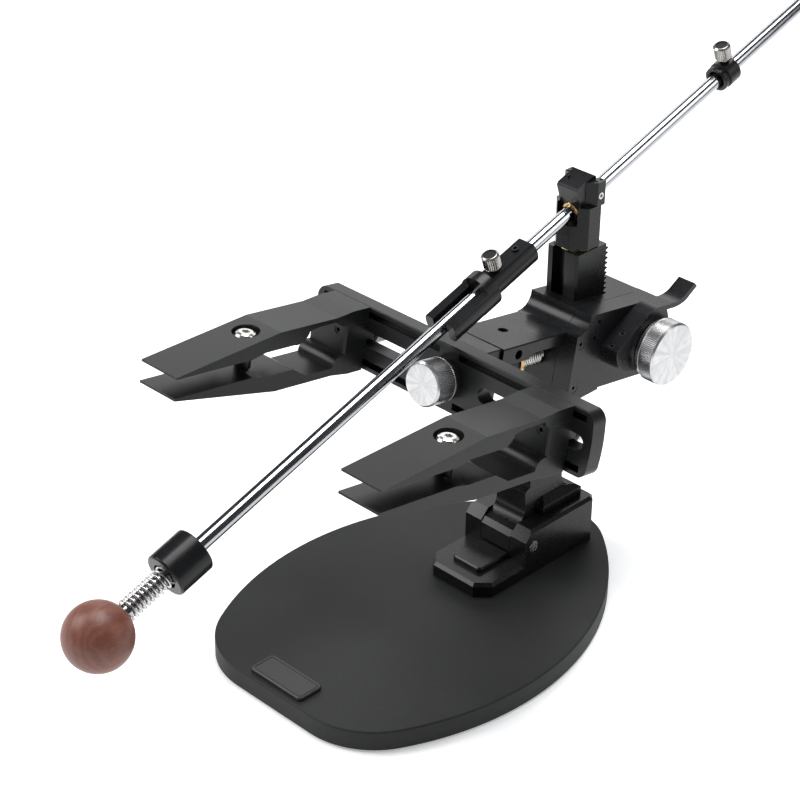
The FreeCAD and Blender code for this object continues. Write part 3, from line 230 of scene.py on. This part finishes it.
def show(name, material, *nodes):
    """Put a material on parts of the frame and say how many."""
    for node in nodes:
        mesh = frame["nodes"][node].data
        mesh.materials.clear()
        mesh.materials.append(material)
    print(f"{name}: {len(nodes)} part(s)")


# %% [markdown]
# ## Black anodised aluminium
#
# Almost every block is aluminium, milled, glass-bead blasted and dyed black.  The dye is not pure
# black: it is a cool grey where light strikes it.  Blasting leaves a pebbled skin a few hundredths
# of a millimetre deep, and the cutter's sweep stays visible below it as long faint bands.  The dye
# wears first on edges, so the edge mask lets a little grey metal through.

# %% Black anodised finish
WORN_ALUMINIUM = (0.105, 0.110, 0.120)


def anodised(name, tint, gloss, band_turn=0.0):
    """Bead-blasted black aluminium with faint milling bands and paler edges."""
    made = Finish(name)
    spot = made.place()
    pebbles = made.noise(spot, 5.5, detail=2.0)
    bands = made.noise(made.place((0.05, 2.2, 2.2), (band_turn, 0, 0)), 1.0, detail=2.0)
    smudge = made.noise(spot, 0.045, detail=4.0, roughness=0.65)
    wear = made.edges(0.35) * made.noise(spot, 0.4).between(0.30, 0.62)
    skin = made.mix(smudge.between(0.35, 0.75), tint, tuple(1.5 * part for part in tint))
    colour = made.mix(wear * 0.55, skin, WORN_ALUMINIUM)
    roughness = gloss + 0.11 * smudge + 0.05 * bands - 0.06 * wear
    height = 0.75 * pebbles + 0.25 * bands
    return made.set(
        Base_Color=colour, Metallic=0.0, Roughness=roughness, Specular_IOR_Level=0.26,
        Normal=made.bump(height, 0.014, 0.45))


block_black = anodised("black_anodised_block", (0.0060, 0.0063, 0.0071), 0.20)
jaw_black = anodised("black_anodised_jaw", (0.0085, 0.0089, 0.0094), 0.28, 0.16)
bar_black = anodised("black_anodised_bar", (0.0095, 0.0099, 0.0107), 0.26, 0.16)
show("blocks", block_black, "foot_bracket", "stand_arm", "head_housing", "side_plate", "bridge_plate",
     "rotor_block", "fold_latch", "lock_lever", "column_head", "swivel_block", "rack_column")
show("jaws", jaw_black, *(f"{part}_{side}" for side in ("left", "right")
                          for part in ("upper_jaw", "lower_jaw", "clamp_block")))
show("bar", bar_black, "crossbar", "knob_ring", "rotor_shaft")
show("holders", block_black, "holder_sleeve", "holder_fork", "front_holder", "stop_collar")

# %% [markdown]
# ## Powder coat on the base
#
# The heavy plate is sprayed with powder and baked.  The coat is dull, with a very fine orange-peel
# skin and a few specks of dust caught in it.  Voronoi cells give the skin its rounded pebbles.

# %% Powder coat
def powder_coat():
    """Dull black paint with a pebbled skin and specks of dust."""
    made = Finish("powder_coat")
    spot = made.place()
    pebbles = made.cells(spot, 1.6)
    fine = made.noise(spot, 4.0, detail=3.0)
    drift = made.noise(spot, 0.02, detail=3.0)
    specks = made.cells(spot, 0.22).between(0.11, 0.06)
    thin, thick = (0.0095, 0.0099, 0.0106), (0.0130, 0.0135, 0.0143)
    coat = made.mix(drift.between(0.3, 0.7), thin, thick)
    worn = made.mix(made.edges(0.5) * fine.between(0.4, 0.6), coat, (0.060, 0.061, 0.063))
    colour = made.mix(specks * 0.12, worn, (0.16, 0.16, 0.155))
    height = 0.6 * pebbles + 0.4 * fine
    return made.set(
        Base_Color=colour, Roughness=0.52 + 0.14 * fine, Specular_IOR_Level=0.30,
        Normal=made.bump(height, 0.05, 0.5))


show("base", powder_coat(), "base_plate")

# %% [markdown]
# ## Rubber under the base
#
# The mat keeps the tool from sliding and the bench from scratches.  It is closed-cell foam: the
# same cells as above, larger and deeper, are its open pores where the sheet was cut.

# %% Rubber mat
def mat_rubber():
    """Foam rubber with open pores."""
    made = Finish("mat_rubber")
    spot = made.place()
    pores = made.cells(spot, 1.1)
    grain = made.noise(spot, 3.0)
    colour = made.mix(pores, (0.012, 0.012, 0.012), (0.035, 0.035, 0.034))
    return made.set(Base_Color=colour, Roughness=0.78 + 0.15 * grain, Normal=made.bump(pores, 0.2, 0.6))


show("mat", mat_rubber(), "base_mat")

# %% [markdown]
# ## Moulded badge
#
# The plate let into the base is moulded plastic.  Its mould was eroded by sparks, which leaves an
# even, very fine texture, and handling polishes the corners to a paler grey.

# %% Badge plastic
def badge_plastic():
    """Moulded plastic with a fine spark-eroded texture."""
    made = Finish("badge_plastic")
    spot = made.place()
    texture = made.noise(spot, 6.0, detail=4.0)
    colour = made.mix(texture, (0.008, 0.008, 0.009), (0.020, 0.020, 0.022))
    worn = made.mix(made.edges(0.3) * 0.4, colour, (0.075, 0.075, 0.078))
    return made.set(Base_Color=worn, Roughness=0.34 + 0.2 * texture, Normal=made.bump(texture, 0.03, 0.4))


badge_finish = badge_plastic()
show("badge", badge_finish, "badge")

# %% [markdown]
# ## Bare metals
#
# Steel, bronze and brass are metals all through, so Metallic is 1 and the base colour is the colour
# of the reflection.  Screws, pins and collars are small, so a fine grain, a few clouds of stain
# and slightly uneven roughness are enough.  Black oxide is the same recipe with a dark colour.

# %% Metals read from object coordinates
def bare_metal(name, colour, stain, roughness, grain_depth=0.012):
    """Machined metal with faint stains, fine grain and bright edges."""
    made = Finish(name)
    spot = made.place()
    grain = made.noise(spot, 7.0, detail=3.0)
    cloud = made.noise(spot, 0.35, detail=4.0)
    tone = made.mix(cloud.between(0.35, 0.75) * 0.6, colour, stain)
    rubbed = tuple(min(1.0, 1.25 * part) for part in colour)
    bright = made.mix(made.edges(0.2) * 0.5, tone, rubbed)
    return made.set(
        Base_Color=bright, Metallic=1.0, Roughness=roughness + 0.14 * cloud,
        Normal=made.bump(grain, grain_depth, 0.5))


screw_steel = bare_metal("screw_steel", (0.60, 0.59, 0.57), (0.40, 0.39, 0.37), 0.20)
black_oxide = bare_metal("black_oxide", (0.045, 0.046, 0.050), (0.020, 0.020, 0.022), 0.34)
bronze = bare_metal("turned_bronze", (0.66, 0.45, 0.21), (0.42, 0.27, 0.12), 0.22)
brass = bare_metal("turned_brass", (0.80, 0.62, 0.30), (0.58, 0.42, 0.18), 0.20)
show("steel", screw_steel, "fold_pin", "foot_screws", "index_spring", "pinion_shaft",
     "pivot_screws", "rod_spring", "clamp_screw_left", "clamp_screw_right")
show("black screws", black_oxide, "side_screws", "gib_screws", "bridge_screw", "lever_screws",
     "cheek_grubs", "swivel_grub", "holder_grub", "fulcrum_screw_left", "fulcrum_screw_right",
     "clamp_sleeve_left", "clamp_sleeve_right")
show("bronze", bronze, "index_collar", "bushing")
show("brass", brass, "column_washer")


# %% [markdown]
# ## Turned pieces
#
# A lathe makes a surface from two numbers: how far along the profile, and how far round the axis.
# The same two numbers make the mesh here.  The profile's points are joined by straight lines, each
# corner is broken by a small chamfer, and the knurl is a wave round the rim that cuts inwards, so
# the piece never grows past the size it was drawn with.

# %% Lathe
LATHE_SHARP = math.radians(32)
KNURL_SLOPE, KNURL_FLAT = 1.6, 0.3


def lathe(name, profile, centre, turn, teeth=0, depth=0.0, per_tooth=6, around=96):
    """A closed turned surface: point = centre + turn (r cos a, r sin a, s), for s, r on the profile.

    The profile is rows of (s, r, knurl), starting and ending on the axis.  A knurled row's radius is
    r - depth knurl wave(a), where the wave runs from 0 to 1 once a tooth, as a triangle with its
    tips cut flat.  The UV map holds (share of a turn, path length in millimetres).
    """
    rows = np.array(profile, float)
    inner = rows[1:-1]
    count = teeth * per_tooth if teeth else around
    angle = np.arange(count) * 2 * np.pi / count
    wave = np.abs(((angle * teeth / (2 * np.pi)) % 1.0) * 2 - 1) if teeth else np.zeros(count)
    wave = np.clip(wave * KNURL_SLOPE - KNURL_FLAT, 0, 1)
    radius = inner[:, 1:2] - depth * inner[:, 2:3] * wave[None, :]
    ring = np.stack([radius * np.cos(angle), radius * np.sin(angle),
                     np.broadcast_to(inner[:, 0:1], radius.shape)], axis=-1).reshape(-1, 3)
    poles = np.array([[0, 0, rows[0, 0]], [0, 0, rows[-1, 0]]])
    points = np.concatenate([ring, poles]) @ turn.T + np.array(centre)
    step = np.arange(count)
    following = (step + 1) % count
    levels = np.arange(len(inner) - 1)[:, None] * count
    quads = np.stack([levels + step, levels + following, levels + count + following,
                      levels + count + step], axis=-1).reshape(-1, 4)
    last = (len(inner) - 1) * count
    start, end = len(ring), len(ring) + 1
    first_fan = np.stack([np.full(count, start), following, step], axis=-1)
    last_fan = np.stack([np.full(count, end), last + step, last + following], axis=-1)
    mesh = bpy.data.meshes.new(name)
    mesh.from_pydata(points.tolist(), [], quads.tolist() + first_fan.tolist() + last_fan.tolist())
    path = np.concatenate([[0], np.cumsum(np.hypot(*np.diff(rows[:, :2], axis=0).T))])
    row_of = np.concatenate([np.repeat(path[1:-1], count), [path[0], path[-1]]])
    share = np.concatenate([np.tile(step / count, len(inner)), [0.5, 0.5]])
    corner = np.zeros(len(mesh.loops), int)
    mesh.loops.foreach_get("vertex_index", corner)
    layer = mesh.uv_layers.new(name="turned")
    layer.data.foreach_set("uv", np.stack([share[corner], row_of[corner] / MM], axis=-1).ravel())
    mesh.shade_smooth()
    piece = bpy.data.objects.new(name, mesh)
    bpy.context.scene.collection.objects.link(piece)
    mesh.set_sharp_from_angle(angle=LATHE_SHARP)
    return piece


# %% [markdown]
# ## Extra rows on long runs
#
# A long quad next to a short one shades unevenly.  So the long straight runs of a profile are cut
# into steps before the lathe takes it, up to a limit that keeps the mesh small.

# %% Finer profile
MOST_STEPS = 24


def finer(profile, step=0.6 * MM):
    """The same profile with extra rows on long runs, so that shading stays even."""
    rows = [profile[0]]
    for first, second in zip(profile, profile[1:]):
        parts = max(1, min(MOST_STEPS, int(math.dist(first[:2], second[:2]) / step)))
        share = np.linspace(0, 1, parts + 1)[1:, None]
        rows += (np.array(first) + share * (np.array(second) - np.array(first))).tolist()
    return rows


# %% [markdown]
# ## Turned and knurled finishes
#
# The lathe leaves rings.  On the knobs' flat faces they catch the light as bright wedges, and here
# those wedges are painted reflection in the colour, not a pattern in the metal.  The UV map of a
# turned piece holds the share of a turn and the length along its profile in millimetres, so a noise
# that only reads the length gives rings on the face, the shoulder and the rim alike.  A noise on the
# circle of that share gives the painted wedges: its cosine and sine are the two coordinates.

# %% Finishes for turned pieces
def turned_metal(name, colour, stain, roughness, rings=9.0, ring_depth=0.010, painted_wedge_strength=0.0):
    """Metal with the lathe's rings, read from the length along the profile, and wedges of painted
    reflection in its colour.
    """
    made = Finish(name)
    uv = made.node("ShaderNodeUVMap", {"uv_map": "turned"})
    length = made.node("ShaderNodeSeparateXYZ", {}, {0: uv}, output=1)
    angle = made.node("ShaderNodeSeparateXYZ", {}, {0: uv}, output=0) * (2 * math.pi)
    cosine = made.node("ShaderNodeMath", {"operation": "COSINE"}, {0: angle})
    sine = made.node("ShaderNodeMath", {"operation": "SINE"}, {0: angle})
    around = made.node("ShaderNodeCombineXYZ", {}, {0: cosine, 1: sine})
    # painted reflection: wedges of light and shade round the axis, mixed into the colour
    painted_reflection_wedges = made.noise(around, 2.6, detail=5.0, roughness=0.68).between(0.36, 0.66)
    line = made.node("ShaderNodeCombineXYZ", {}, {0: 0.0, 1: length})
    fine = made.noise(line, rings, detail=3.0, roughness=0.7)
    cloud = made.noise(made.place(), 0.25, detail=4.0)
    tone = made.mix(cloud.between(0.35, 0.8) * 0.5, colour, stain)
    # the colour holds the lathe's real rings and the painted reflection wedges
    rings_and_painted_wedges = made.mix(fine.between(0.25, 0.75) * 0.25 + painted_reflection_wedges * painted_wedge_strength, tone, stain)
    return made.set(
        Base_Color=rings_and_painted_wedges, Metallic=1.0, Roughness=roughness + 0.10 * cloud + 0.05 * fine,
        Normal=made.bump(fine, ring_depth, 1.0))


# the knob faces get painted reflection wedges in their colour
knob_silver = turned_metal("knob_silver", (0.66, 0.66, 0.66), (0.42, 0.42, 0.43), 0.26, painted_wedge_strength=0.6)
rim_nickel = turned_metal("thumb_nickel", (0.42, 0.405, 0.38), (0.26, 0.25, 0.23), 0.20)
rod_steel = turned_metal("ground_rod", (0.43, 0.44, 0.46), (0.36, 0.37, 0.39), 0.06,
                         rings=3.0, ring_depth=0.0008)
print("turned finishes:", [made.name for made in (knob_silver, rim_nickel, rod_steel)])


# %% [markdown]
# ## Knobs
#
# Each knob is a drum with a bright flat face, a small chamfer, and a rim cut with straight knurls.
# The face is slightly dished towards the middle.  The number of knurls follows from the rim's
# length and the pitch of the knurling wheel.

# %% Knobs with straight knurls
KNURL_PITCH = 1.05 * MM
KNURL_DEPTH = 0.34 * MM


def knurl_count(radius):
    """How many knurls of the wheel's pitch fit round a rim."""
    return int(round(2 * math.pi * radius / KNURL_PITCH))


def drum_profile(back, face, radius, neck, neck_length, chamfer=0.9 * MM):
    """Rows from the foot of the neck to the middle of the face; the rim is knurled between chamfers."""
    way = 1 if face > back else -1
    shoulder = back + way * neck_length
    rim_start = shoulder + way * chamfer
    rim_end = face - way * chamfer
    dish = face - way * 0.25 * MM
    run_out = way * 0.25 * MM
    edge = way * 0.1 * MM
    return [
        (back, 0, 0), (back, neck, 0), (shoulder, neck, 0), (shoulder, radius - 1.4 * chamfer, 0),
        (rim_start - edge, radius - 0.2 * chamfer, 0), (rim_start, radius, 0),
        (rim_start + run_out, radius, 1), (rim_end - run_out, radius, 1), (rim_end, radius, 0),
        (face - edge, radius - chamfer, 0), (face, radius - 1.25 * chamfer, 0),
        (dish, 0.10 * radius, 0), (dish, 0, 0)]


def reach_along(points, centre, axis):
    """How far each point lies along an axis from a centre, and how far out from that axis."""
    offset = points.reshape(-1, 3) - np.array(centre)
    along = offset @ np.array(axis)
    return along, np.linalg.norm(offset - along[:, None] * np.array(axis), axis=1)


def node_points(node):
    """The corners of a part of the frame."""
    mesh = frame["nodes"][node].data
    points = np.zeros(len(mesh.vertices) * 3)
    mesh.vertices.foreach_get("co", points)
    return points


def knob(name, node, body, joint, radius, neck, neck_length, outward):
    """A knurled knob in the place of a node: its length is the node's reach along the joint's axis."""
    axis = joint_axis(joint) * outward
    centre = joint_point(joint)
    turn = frame_along(axis, Vector((0.3, 1, 0.2)))
    along, _ = reach_along(node_points(node), centre, axis)
    profile = drum_profile(along.min(), along.max(), radius, neck, neck_length)
    made = lathe(name, finer(profile), centre, turn, knurl_count(radius), KNURL_DEPTH)
    made.data.materials.append(knob_silver)
    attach(made, body)
    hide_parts(node)
    print(name, "has", knurl_count(radius), "knurls and", len(made.data.polygons), "faces")


knob("pinion_knob_turned", "pinion_knob", "pinion", "pinion_turn",
     radius=18.75 * MM, neck=17.1 * MM, neck_length=2.2 * MM, outward=1)
knob("centre_knob_turned", "front_knob", "centre_knob", "centre_knob_turn",
     radius=12.6 * MM, neck=3.95 * MM, neck_length=14.0 * MM, outward=-1)
for side in ("left", "right"):
    knob(f"rear_knob_{side}_turned", f"jaw_knob_{side}", f"rear_knob_{side}",
         f"rear_knob_turn_{side}", radius=11.0 * MM, neck=2.95 * MM, neck_length=20.0 * MM, outward=1)


# %% [markdown]
# ## Thumb screws
#
# The two thumb screws are smaller copies of the same idea in nickel-plated steel, with coarser
# knurls for the fingers and a dark, slightly sunk disc on top where the plating stops.

# %% Thumb screws
THUMB_HEAD = 9.0 * MM
THUMB_SHANK = 1.95 * MM
THUMB_NECK_SHARE = 0.62
THUMB_KNURLS, THUMB_KNURL_DEPTH = 26, 0.42 * MM
SUNK = 0.5 * MM


def thumb_profile(foot, top, radius):
    """Rows of a thumb screw: shank, neck, knurled head, and a chamfered top with a sunk disc."""
    head = top - THUMB_HEAD
    neck = THUMB_NECK_SHARE * radius
    return [
        (foot, 0, 0), (foot, THUMB_SHANK, 0), (head - 1.0 * MM, THUMB_SHANK, 0),
        (head - 1.0 * MM, neck, 0), (head, neck, 0), (head, radius - 0.9 * MM, 0),
        (head + 0.8 * MM, radius, 0), (head + 1.0 * MM, radius, 1),
        (top - 1.1 * MM, radius, 1), (top - 0.9 * MM, radius, 0), (top - 0.1 * MM, radius - 0.9 * MM, 0),
        (top, radius - 1.1 * MM, 0), (top, radius - 1.4 * MM, 0),
        (top - SUNK, radius - 1.5 * MM, 0), (top - SUNK, 0, 0)]


def thumb_screw(name, node, body, joint):
    """A thumb screw in the place of a node, with a dark disc on top."""
    axis = joint_axis(joint)
    centre = joint_point(joint)
    along, out = reach_along(node_points(node), centre, axis)
    foot, top, radius = along.min(), along.max(), out.max()
    turn = frame_along(axis, Vector((0, 1, 0.1)))
    rows = finer(thumb_profile(foot, top, radius), 0.4 * MM)
    made = lathe(name, rows, centre, turn, THUMB_KNURLS, THUMB_KNURL_DEPTH)
    made.data.materials.append(rim_nickel)
    made.data.materials.append(black_oxide)
    middles = np.zeros(len(made.data.polygons) * 3)
    made.data.polygons.foreach_get("center", middles)
    height, spread = reach_along(middles, centre, axis)
    dark = (height > top - 1.1 * SUNK) & (spread < radius - 1.45 * MM)
    made.data.polygons.foreach_set("material_index", dark.astype(np.int32))
    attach(made, body)
    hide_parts(node)
    print(name, "stands", round((top - foot) / MM, 1), "mm tall")


thumb_screw("holder_thumb_turned", "holder_thumb_screw", "holder_thumb", "holder_thumb_turn")
thumb_screw("stop_thumb_turned", "stop_thumb_screw", "stop_thumb", "stop_thumb_turn")


# %% [markdown]
# ## The guide rod
#
# The rod is ground steel.  A mirror shows every facet, so the rod is made again with many sides.
# It slopes, so its box is longer than it is: a cylinder of half length h and radius r, along the
# unit axis (0, y, z), fills half a box of h y + r z by h z + r y.  Their sum, weighted by y and z,
# is h + 2 r y z, which gives h.

# %% Rod
ROD_CHAMFER = 0.6 * MM
rod_low, rod_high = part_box("guide_rod")
rod_centre = (rod_low + rod_high) / 2
rod_radius = (rod_high.x - rod_low.x) / 2
half_length = (rod_high - rod_low).dot(Vector((0, abs(ROD_AXIS.y), abs(ROD_AXIS.z)))) / 2
half_length -= rod_radius * 2 * abs(ROD_AXIS.y * ROD_AXIS.z)
rod_rows = [
    (-half_length, 0, 0), (-half_length, rod_radius, 0), (half_length - ROD_CHAMFER, rod_radius, 0),
    (half_length, rod_radius - ROD_CHAMFER, 0), (half_length, 0, 0)]
rod = lathe("guide_rod_ground", finer(rod_rows, 10 * MM), rod_centre, frame_along(ROD_AXIS), around=72)
rod.data.materials.append(rod_steel)
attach(rod, "rod")
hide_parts("guide_rod")
print("rod:", round(2 * half_length / MM, 1), "mm long,", round(2 * rod_radius / MM, 2), "mm thick")


# %% [markdown]
# ## The wooden ball
#
# The ball is turned from a reddish hardwood.  Its rings are cut across by the surface, so they show
# as nested ovals on two sides and as long stripes between them.  The recipe is a sine of the
# distance along a tilted axis, warped by noise, plus fibres and pores stretched along the grain.

# %% Hardwood
WOOD_TILT = (0.5, 0.35, 0.2)


def ball_wood():
    """Reddish-brown wood: ring = sin 1.5 (distance + 14 noise), with stretched fibres and pores."""
    made = Finish("ball_wood")
    along = made.place((1, 1, 1), WOOD_TILT)
    warp = made.noise(along, 0.07, detail=2.0)
    stretched = made.place((1.0, 0.12, 1.0), WOOD_TILT)
    distance = made.node("ShaderNodeSeparateXYZ", {}, {0: along}, output=0)
    rings = made.node("ShaderNodeMath", {"operation": "SINE"}, {0: (distance + 14.0 * warp) * 1.5})
    fibre = made.noise(stretched, 1.8, detail=5.0, roughness=0.7)
    pores = made.noise(stretched, 5.5, detail=2.0).between(0.60, 0.72)
    share = (0.45 + 0.09 * rings + 1.0 * (fibre - 0.5)).between(0.0, 1.0)
    dark, middle, pale = (0.095, 0.026, 0.015), (0.165, 0.049, 0.029), (0.250, 0.086, 0.052)
    stops = {"stops": [(0.0, dark), (0.45, middle), (1.0, pale)]}
    heart = made.node("ShaderNodeValToRGB", stops, {0: share})
    colour = made.mix(pores * 0.65, heart, (0.050, 0.014, 0.009))
    height = fibre - 0.8 * pores
    return made.set(
        Base_Color=colour, Roughness=0.40 + 0.16 * fibre, Coat_Weight=0.08, Coat_Roughness=0.30,
        Normal=made.bump(height, 0.05, 0.5))


# %% [markdown]
# ## Turning the ball
#
# The profile is a half circle from pole to pole.  The far pole is cut flat where the rod comes out,
# at a small share of the radius short of the full ball.

# %% Ball
ball_low, ball_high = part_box("ball_handle")
ball_radius = (ball_high.x - ball_low.x) / 2
ball_centre = Vector((0, (ball_low.y + ball_high.y) / 2, (ball_low.z + ball_high.z) / 2))
FLAT_FROM = 0.965
ball_rows = [(-ball_radius * math.cos(a), ball_radius * math.sin(a), 0)
             for a in np.linspace(0, math.pi, 65) if -math.cos(a) < FLAT_FROM]
ball_rows.append((ball_radius * FLAT_FROM, 0, 0))
ball_rows[0] = (-ball_radius, 0, 0)
ball = lathe("ball_handle_turned", ball_rows, ball_centre, frame_along(ROD_AXIS), around=96)
ball.data.materials.append(ball_wood())
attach(ball, "rod")
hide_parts("ball_handle")
print("ball:", round(2 * ball_radius / MM, 1), "mm across")

# %% [markdown]
# ## A rim for the blank badge
#
# The badge on the base is blank.  A thin raised rim runs round it: a round bead, half sunk in the
# plate, carried along a rounded rectangle, so that the plate still catches a line of light.

# %% Badge rim
def rounded_rectangle(half_width, half_depth, radius, per_corner=10):
    """Points round a rectangle whose corners are quarter circles, with their outward directions."""
    angle = np.linspace(0, math.pi / 2, per_corner)
    quarter = np.stack([np.cos(angle), np.sin(angle)], axis=-1)
    turns = [np.array([[c, -s], [s, c]]) for c, s in ((1, 0), (0, 1), (-1, 0), (0, -1))]
    signs = [(1, 1), (-1, 1), (-1, -1), (1, -1)]
    outward = np.concatenate([quarter @ turn.T for turn in turns])
    centres = np.array(signs, float) * [half_width - radius, half_depth - radius]
    return np.repeat(centres, per_corner, axis=0) + radius * outward, outward


def bead(name, half_width, half_depth, corner, centre, size, steps=8):
    """A round bead: point = path + size (cos b outward + sin b up), for b over a full turn."""
    path, outward = rounded_rectangle(half_width, half_depth, corner)
    angle = np.linspace(0, 2 * math.pi, steps, endpoint=False)
    side = (size * np.cos(angle))[None, :, None] * outward[:, None, :]
    height = np.broadcast_to(size * np.sin(angle)[None, :, None], (len(path), steps, 1))
    points = np.concatenate([path[:, None, :] + side, height], axis=-1).reshape(-1, 3) + np.array(centre)
    ring = np.arange(len(path))[:, None] * steps
    next_ring = np.roll(np.arange(len(path)), -1)[:, None] * steps
    step = np.arange(steps)[None, :]
    following = (step + 1) % steps
    quads = np.stack([ring + step, next_ring + step, next_ring + following, ring + following], axis=-1)
    mesh = bpy.data.meshes.new(name)
    mesh.from_pydata(points.tolist(), [], quads.reshape(-1, 4).tolist())
    mesh.shade_smooth()
    piece = bpy.data.objects.new(name, mesh)
    bpy.context.scene.collection.objects.link(piece)
    return piece


RIM_INSET, RIM_CORNER, RIM_SIZE = 1.7 * MM, 1.6 * MM, 0.32 * MM
badge_low, badge_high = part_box("badge")
rim_centre = ((badge_low.x + badge_high.x) / 2, (badge_low.y + badge_high.y) / 2, badge_high.z)
rim = bead("badge_rim", (badge_high.x - badge_low.x) / 2 - RIM_INSET,
           (badge_high.y - badge_low.y) / 2 - RIM_INSET, RIM_CORNER, rim_centre, RIM_SIZE)
rim.data.materials.append(badge_finish)
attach(rim, "stand")
print("badge rim:", len(rim.data.polygons), "faces")

# %% [markdown]
# ## Broken edges
#
# No machined part has a perfectly sharp edge.  A weld joins the loose triangles of each frame part,
# and a narrow bevel breaks its corners, so that they catch the light as thin bright lines.  The
# flats are long triangles, which would shade in streaks, so the last modifier weighs each normal by
# the size of its faces: a large flat then stays flat up to its broken edge.

# %% Bevel the milled parts
WELD_MM, CORNER = 0.002, math.radians(35)
EDGE_WIDTHS = {
    "base_plate": 0.4, "foot_bracket": 0.35, "stand_arm": 0.35, "head_housing": 0.3, "side_plate": 0.3,
    "bridge_plate": 0.3, "rotor_block": 0.4, "fold_latch": 0.3, "lock_lever": 0.3, "column_head": 0.25,
    "swivel_block": 0.25, "rack_column": 0.12, "crossbar": 0.4, "knob_ring": 0.2, "badge": 0.2,
    "holder_sleeve": 0.2, "holder_fork": 0.3, "front_holder": 0.3, "stop_collar": 0.2,
}
for side in ("left", "right"):
    for part in ("upper_jaw", "lower_jaw", "clamp_block"):
        EDGE_WIDTHS[f"{part}_{side}"] = 0.3
for node, width in EDGE_WIDTHS.items():
    part = frame["nodes"][node]
    weld = part.modifiers.new("weld", "WELD")
    weld.merge_threshold = WELD_MM * MM
    bevel = part.modifiers.new("broken_edges", "BEVEL")
    bevel.width = width * MM
    bevel.segments = 2
    bevel.limit_method = "ANGLE"
    bevel.angle_limit = CORNER
    shading = part.modifiers.new("even_shading", "WEIGHTED_NORMAL")
    shading.keep_sharp = True
print("bevelled parts:", len(EDGE_WIDTHS))


# %% [markdown]
# ## Studio floor
#
# The tool stands on a pale matt sheet that goes on far past the camera's view.  A little emission
# keeps the sheet white without a lamp that would wash out the black parts.

# %% Floor
def pale_floor():
    """Matt white card with a hint of grain."""
    made = Finish("pale_card")
    grain = made.noise(made.place(), 0.3)
    colour = made.mix(grain, (0.86, 0.865, 0.87), (0.90, 0.90, 0.90))
    return made.set(Base_Color=colour, Roughness=0.85, Emission_Color=(0.93, 0.94, 0.95),
                    Emission_Strength=0.38)


FLOOR_HALF = 6.0
floor_mesh = bpy.data.meshes.new("floor")
corners = [(FLOOR_HALF * x, FLOOR_HALF * y, 0) for x, y in ((-1, -1), (1, -1), (1, 1), (-1, 1))]
floor_mesh.from_pydata(corners, [], [(0, 1, 2, 3)])
floor = bpy.data.objects.new("floor", floor_mesh)
floor_mesh.materials.append(pale_floor())
bpy.context.scene.collection.objects.link(floor)
print("floor:", 2 * FLOOR_HALF, "m square")


# %% [markdown]
# ## Lamps
#
# Five soft lamps light the tool.  A large one hangs overhead for the tops, a wide panel stands
# behind on the left, where the tops and the knob faces mirror it, and a window on the left lights
# the upright faces.  A thin strip on the right and a weak fill in front finish the shadows.  The
# room is dim, so that the polished parts have something dark to reflect.

# %% Lamps and world
def lamp(name, place, aim, size, power, height=None):
    """A soft rectangular lamp that looks at a point."""
    data = bpy.data.lights.new(name, "AREA")
    data.shape = "RECTANGLE"
    data.size = size
    data.size_y = height or size
    data.energy = power
    made = bpy.data.objects.new(name, data)
    made.location = place
    made.rotation_euler = (Vector(aim) - Vector(place)).to_track_quat("-Z", "Y").to_euler()
    bpy.context.scene.collection.objects.link(made)
    print(name, "gives", power, "W")


AIM = (0.0, -0.02, 0.12)
lamp("overhead", (-0.1, 0.3, 2.3), AIM, 1.3, 52)
lamp("back_panel", (-1.25, 1.55, 1.02), AIM, 2.4, 15, 0.9)
lamp("left_window", (-1.35, -1.1, 1.40), AIM, 1.1, 30)
lamp("right_strip", (1.6, 1.0, 1.0), AIM, 0.5, 6, 1.4)
lamp("front_fill", (0.9, -2.4, 1.4), AIM, 1.2, 4)
world = bpy.data.worlds.new("studio")
bpy.context.scene.world = world
world.use_nodes = True
ROOM_GREY = (0.07, 0.073, 0.078, 1.0)
world.node_tree.nodes["Background"].inputs["Color"].default_value = ROOM_GREY
world.node_tree.nodes["Background"].inputs["Strength"].default_value = 1.0
bpy.context.scene.view_settings.view_transform = "Standard"

# %% [markdown]
# ## Camera
#
# The camera looks down from the front right with a long lens.  Its place follows from the turn
# round the tool, the height above the horizon, and the distance.

# %% Camera
AZIMUTH = math.radians(44.464)
ELEVATION = math.radians(30.283)
ROLL = math.radians(0.71)
DISTANCE = 1.290
LENS_MM, SENSOR_MM = 101.4, 36.0
TARGET = Vector((-0.05746, 0.01341, 0.10782))
back = Vector((math.sin(AZIMUTH) * math.cos(ELEVATION), -math.cos(AZIMUTH) * math.cos(ELEVATION),
               math.sin(ELEVATION)))
right = Vector((math.cos(AZIMUTH), math.sin(AZIMUTH), 0))
up = back.cross(right)
rolled_right = right * math.cos(ROLL) + up * math.sin(ROLL)
rolled_up = up * math.cos(ROLL) - right * math.sin(ROLL)
camera_data = bpy.data.cameras.new("camera")
camera_data.lens = LENS_MM
camera_data.sensor_width = SENSOR_MM
camera = bpy.data.objects.new("camera", camera_data)
turned = Matrix((rolled_right, rolled_up, back)).transposed().to_4x4()
camera.matrix_world = Matrix.Translation(TARGET + back * DISTANCE) @ turned
bpy.context.scene.collection.objects.link(camera)
bpy.context.scene.camera = camera
print("camera at", [round(value, 3) for value in camera.matrix_world.translation])
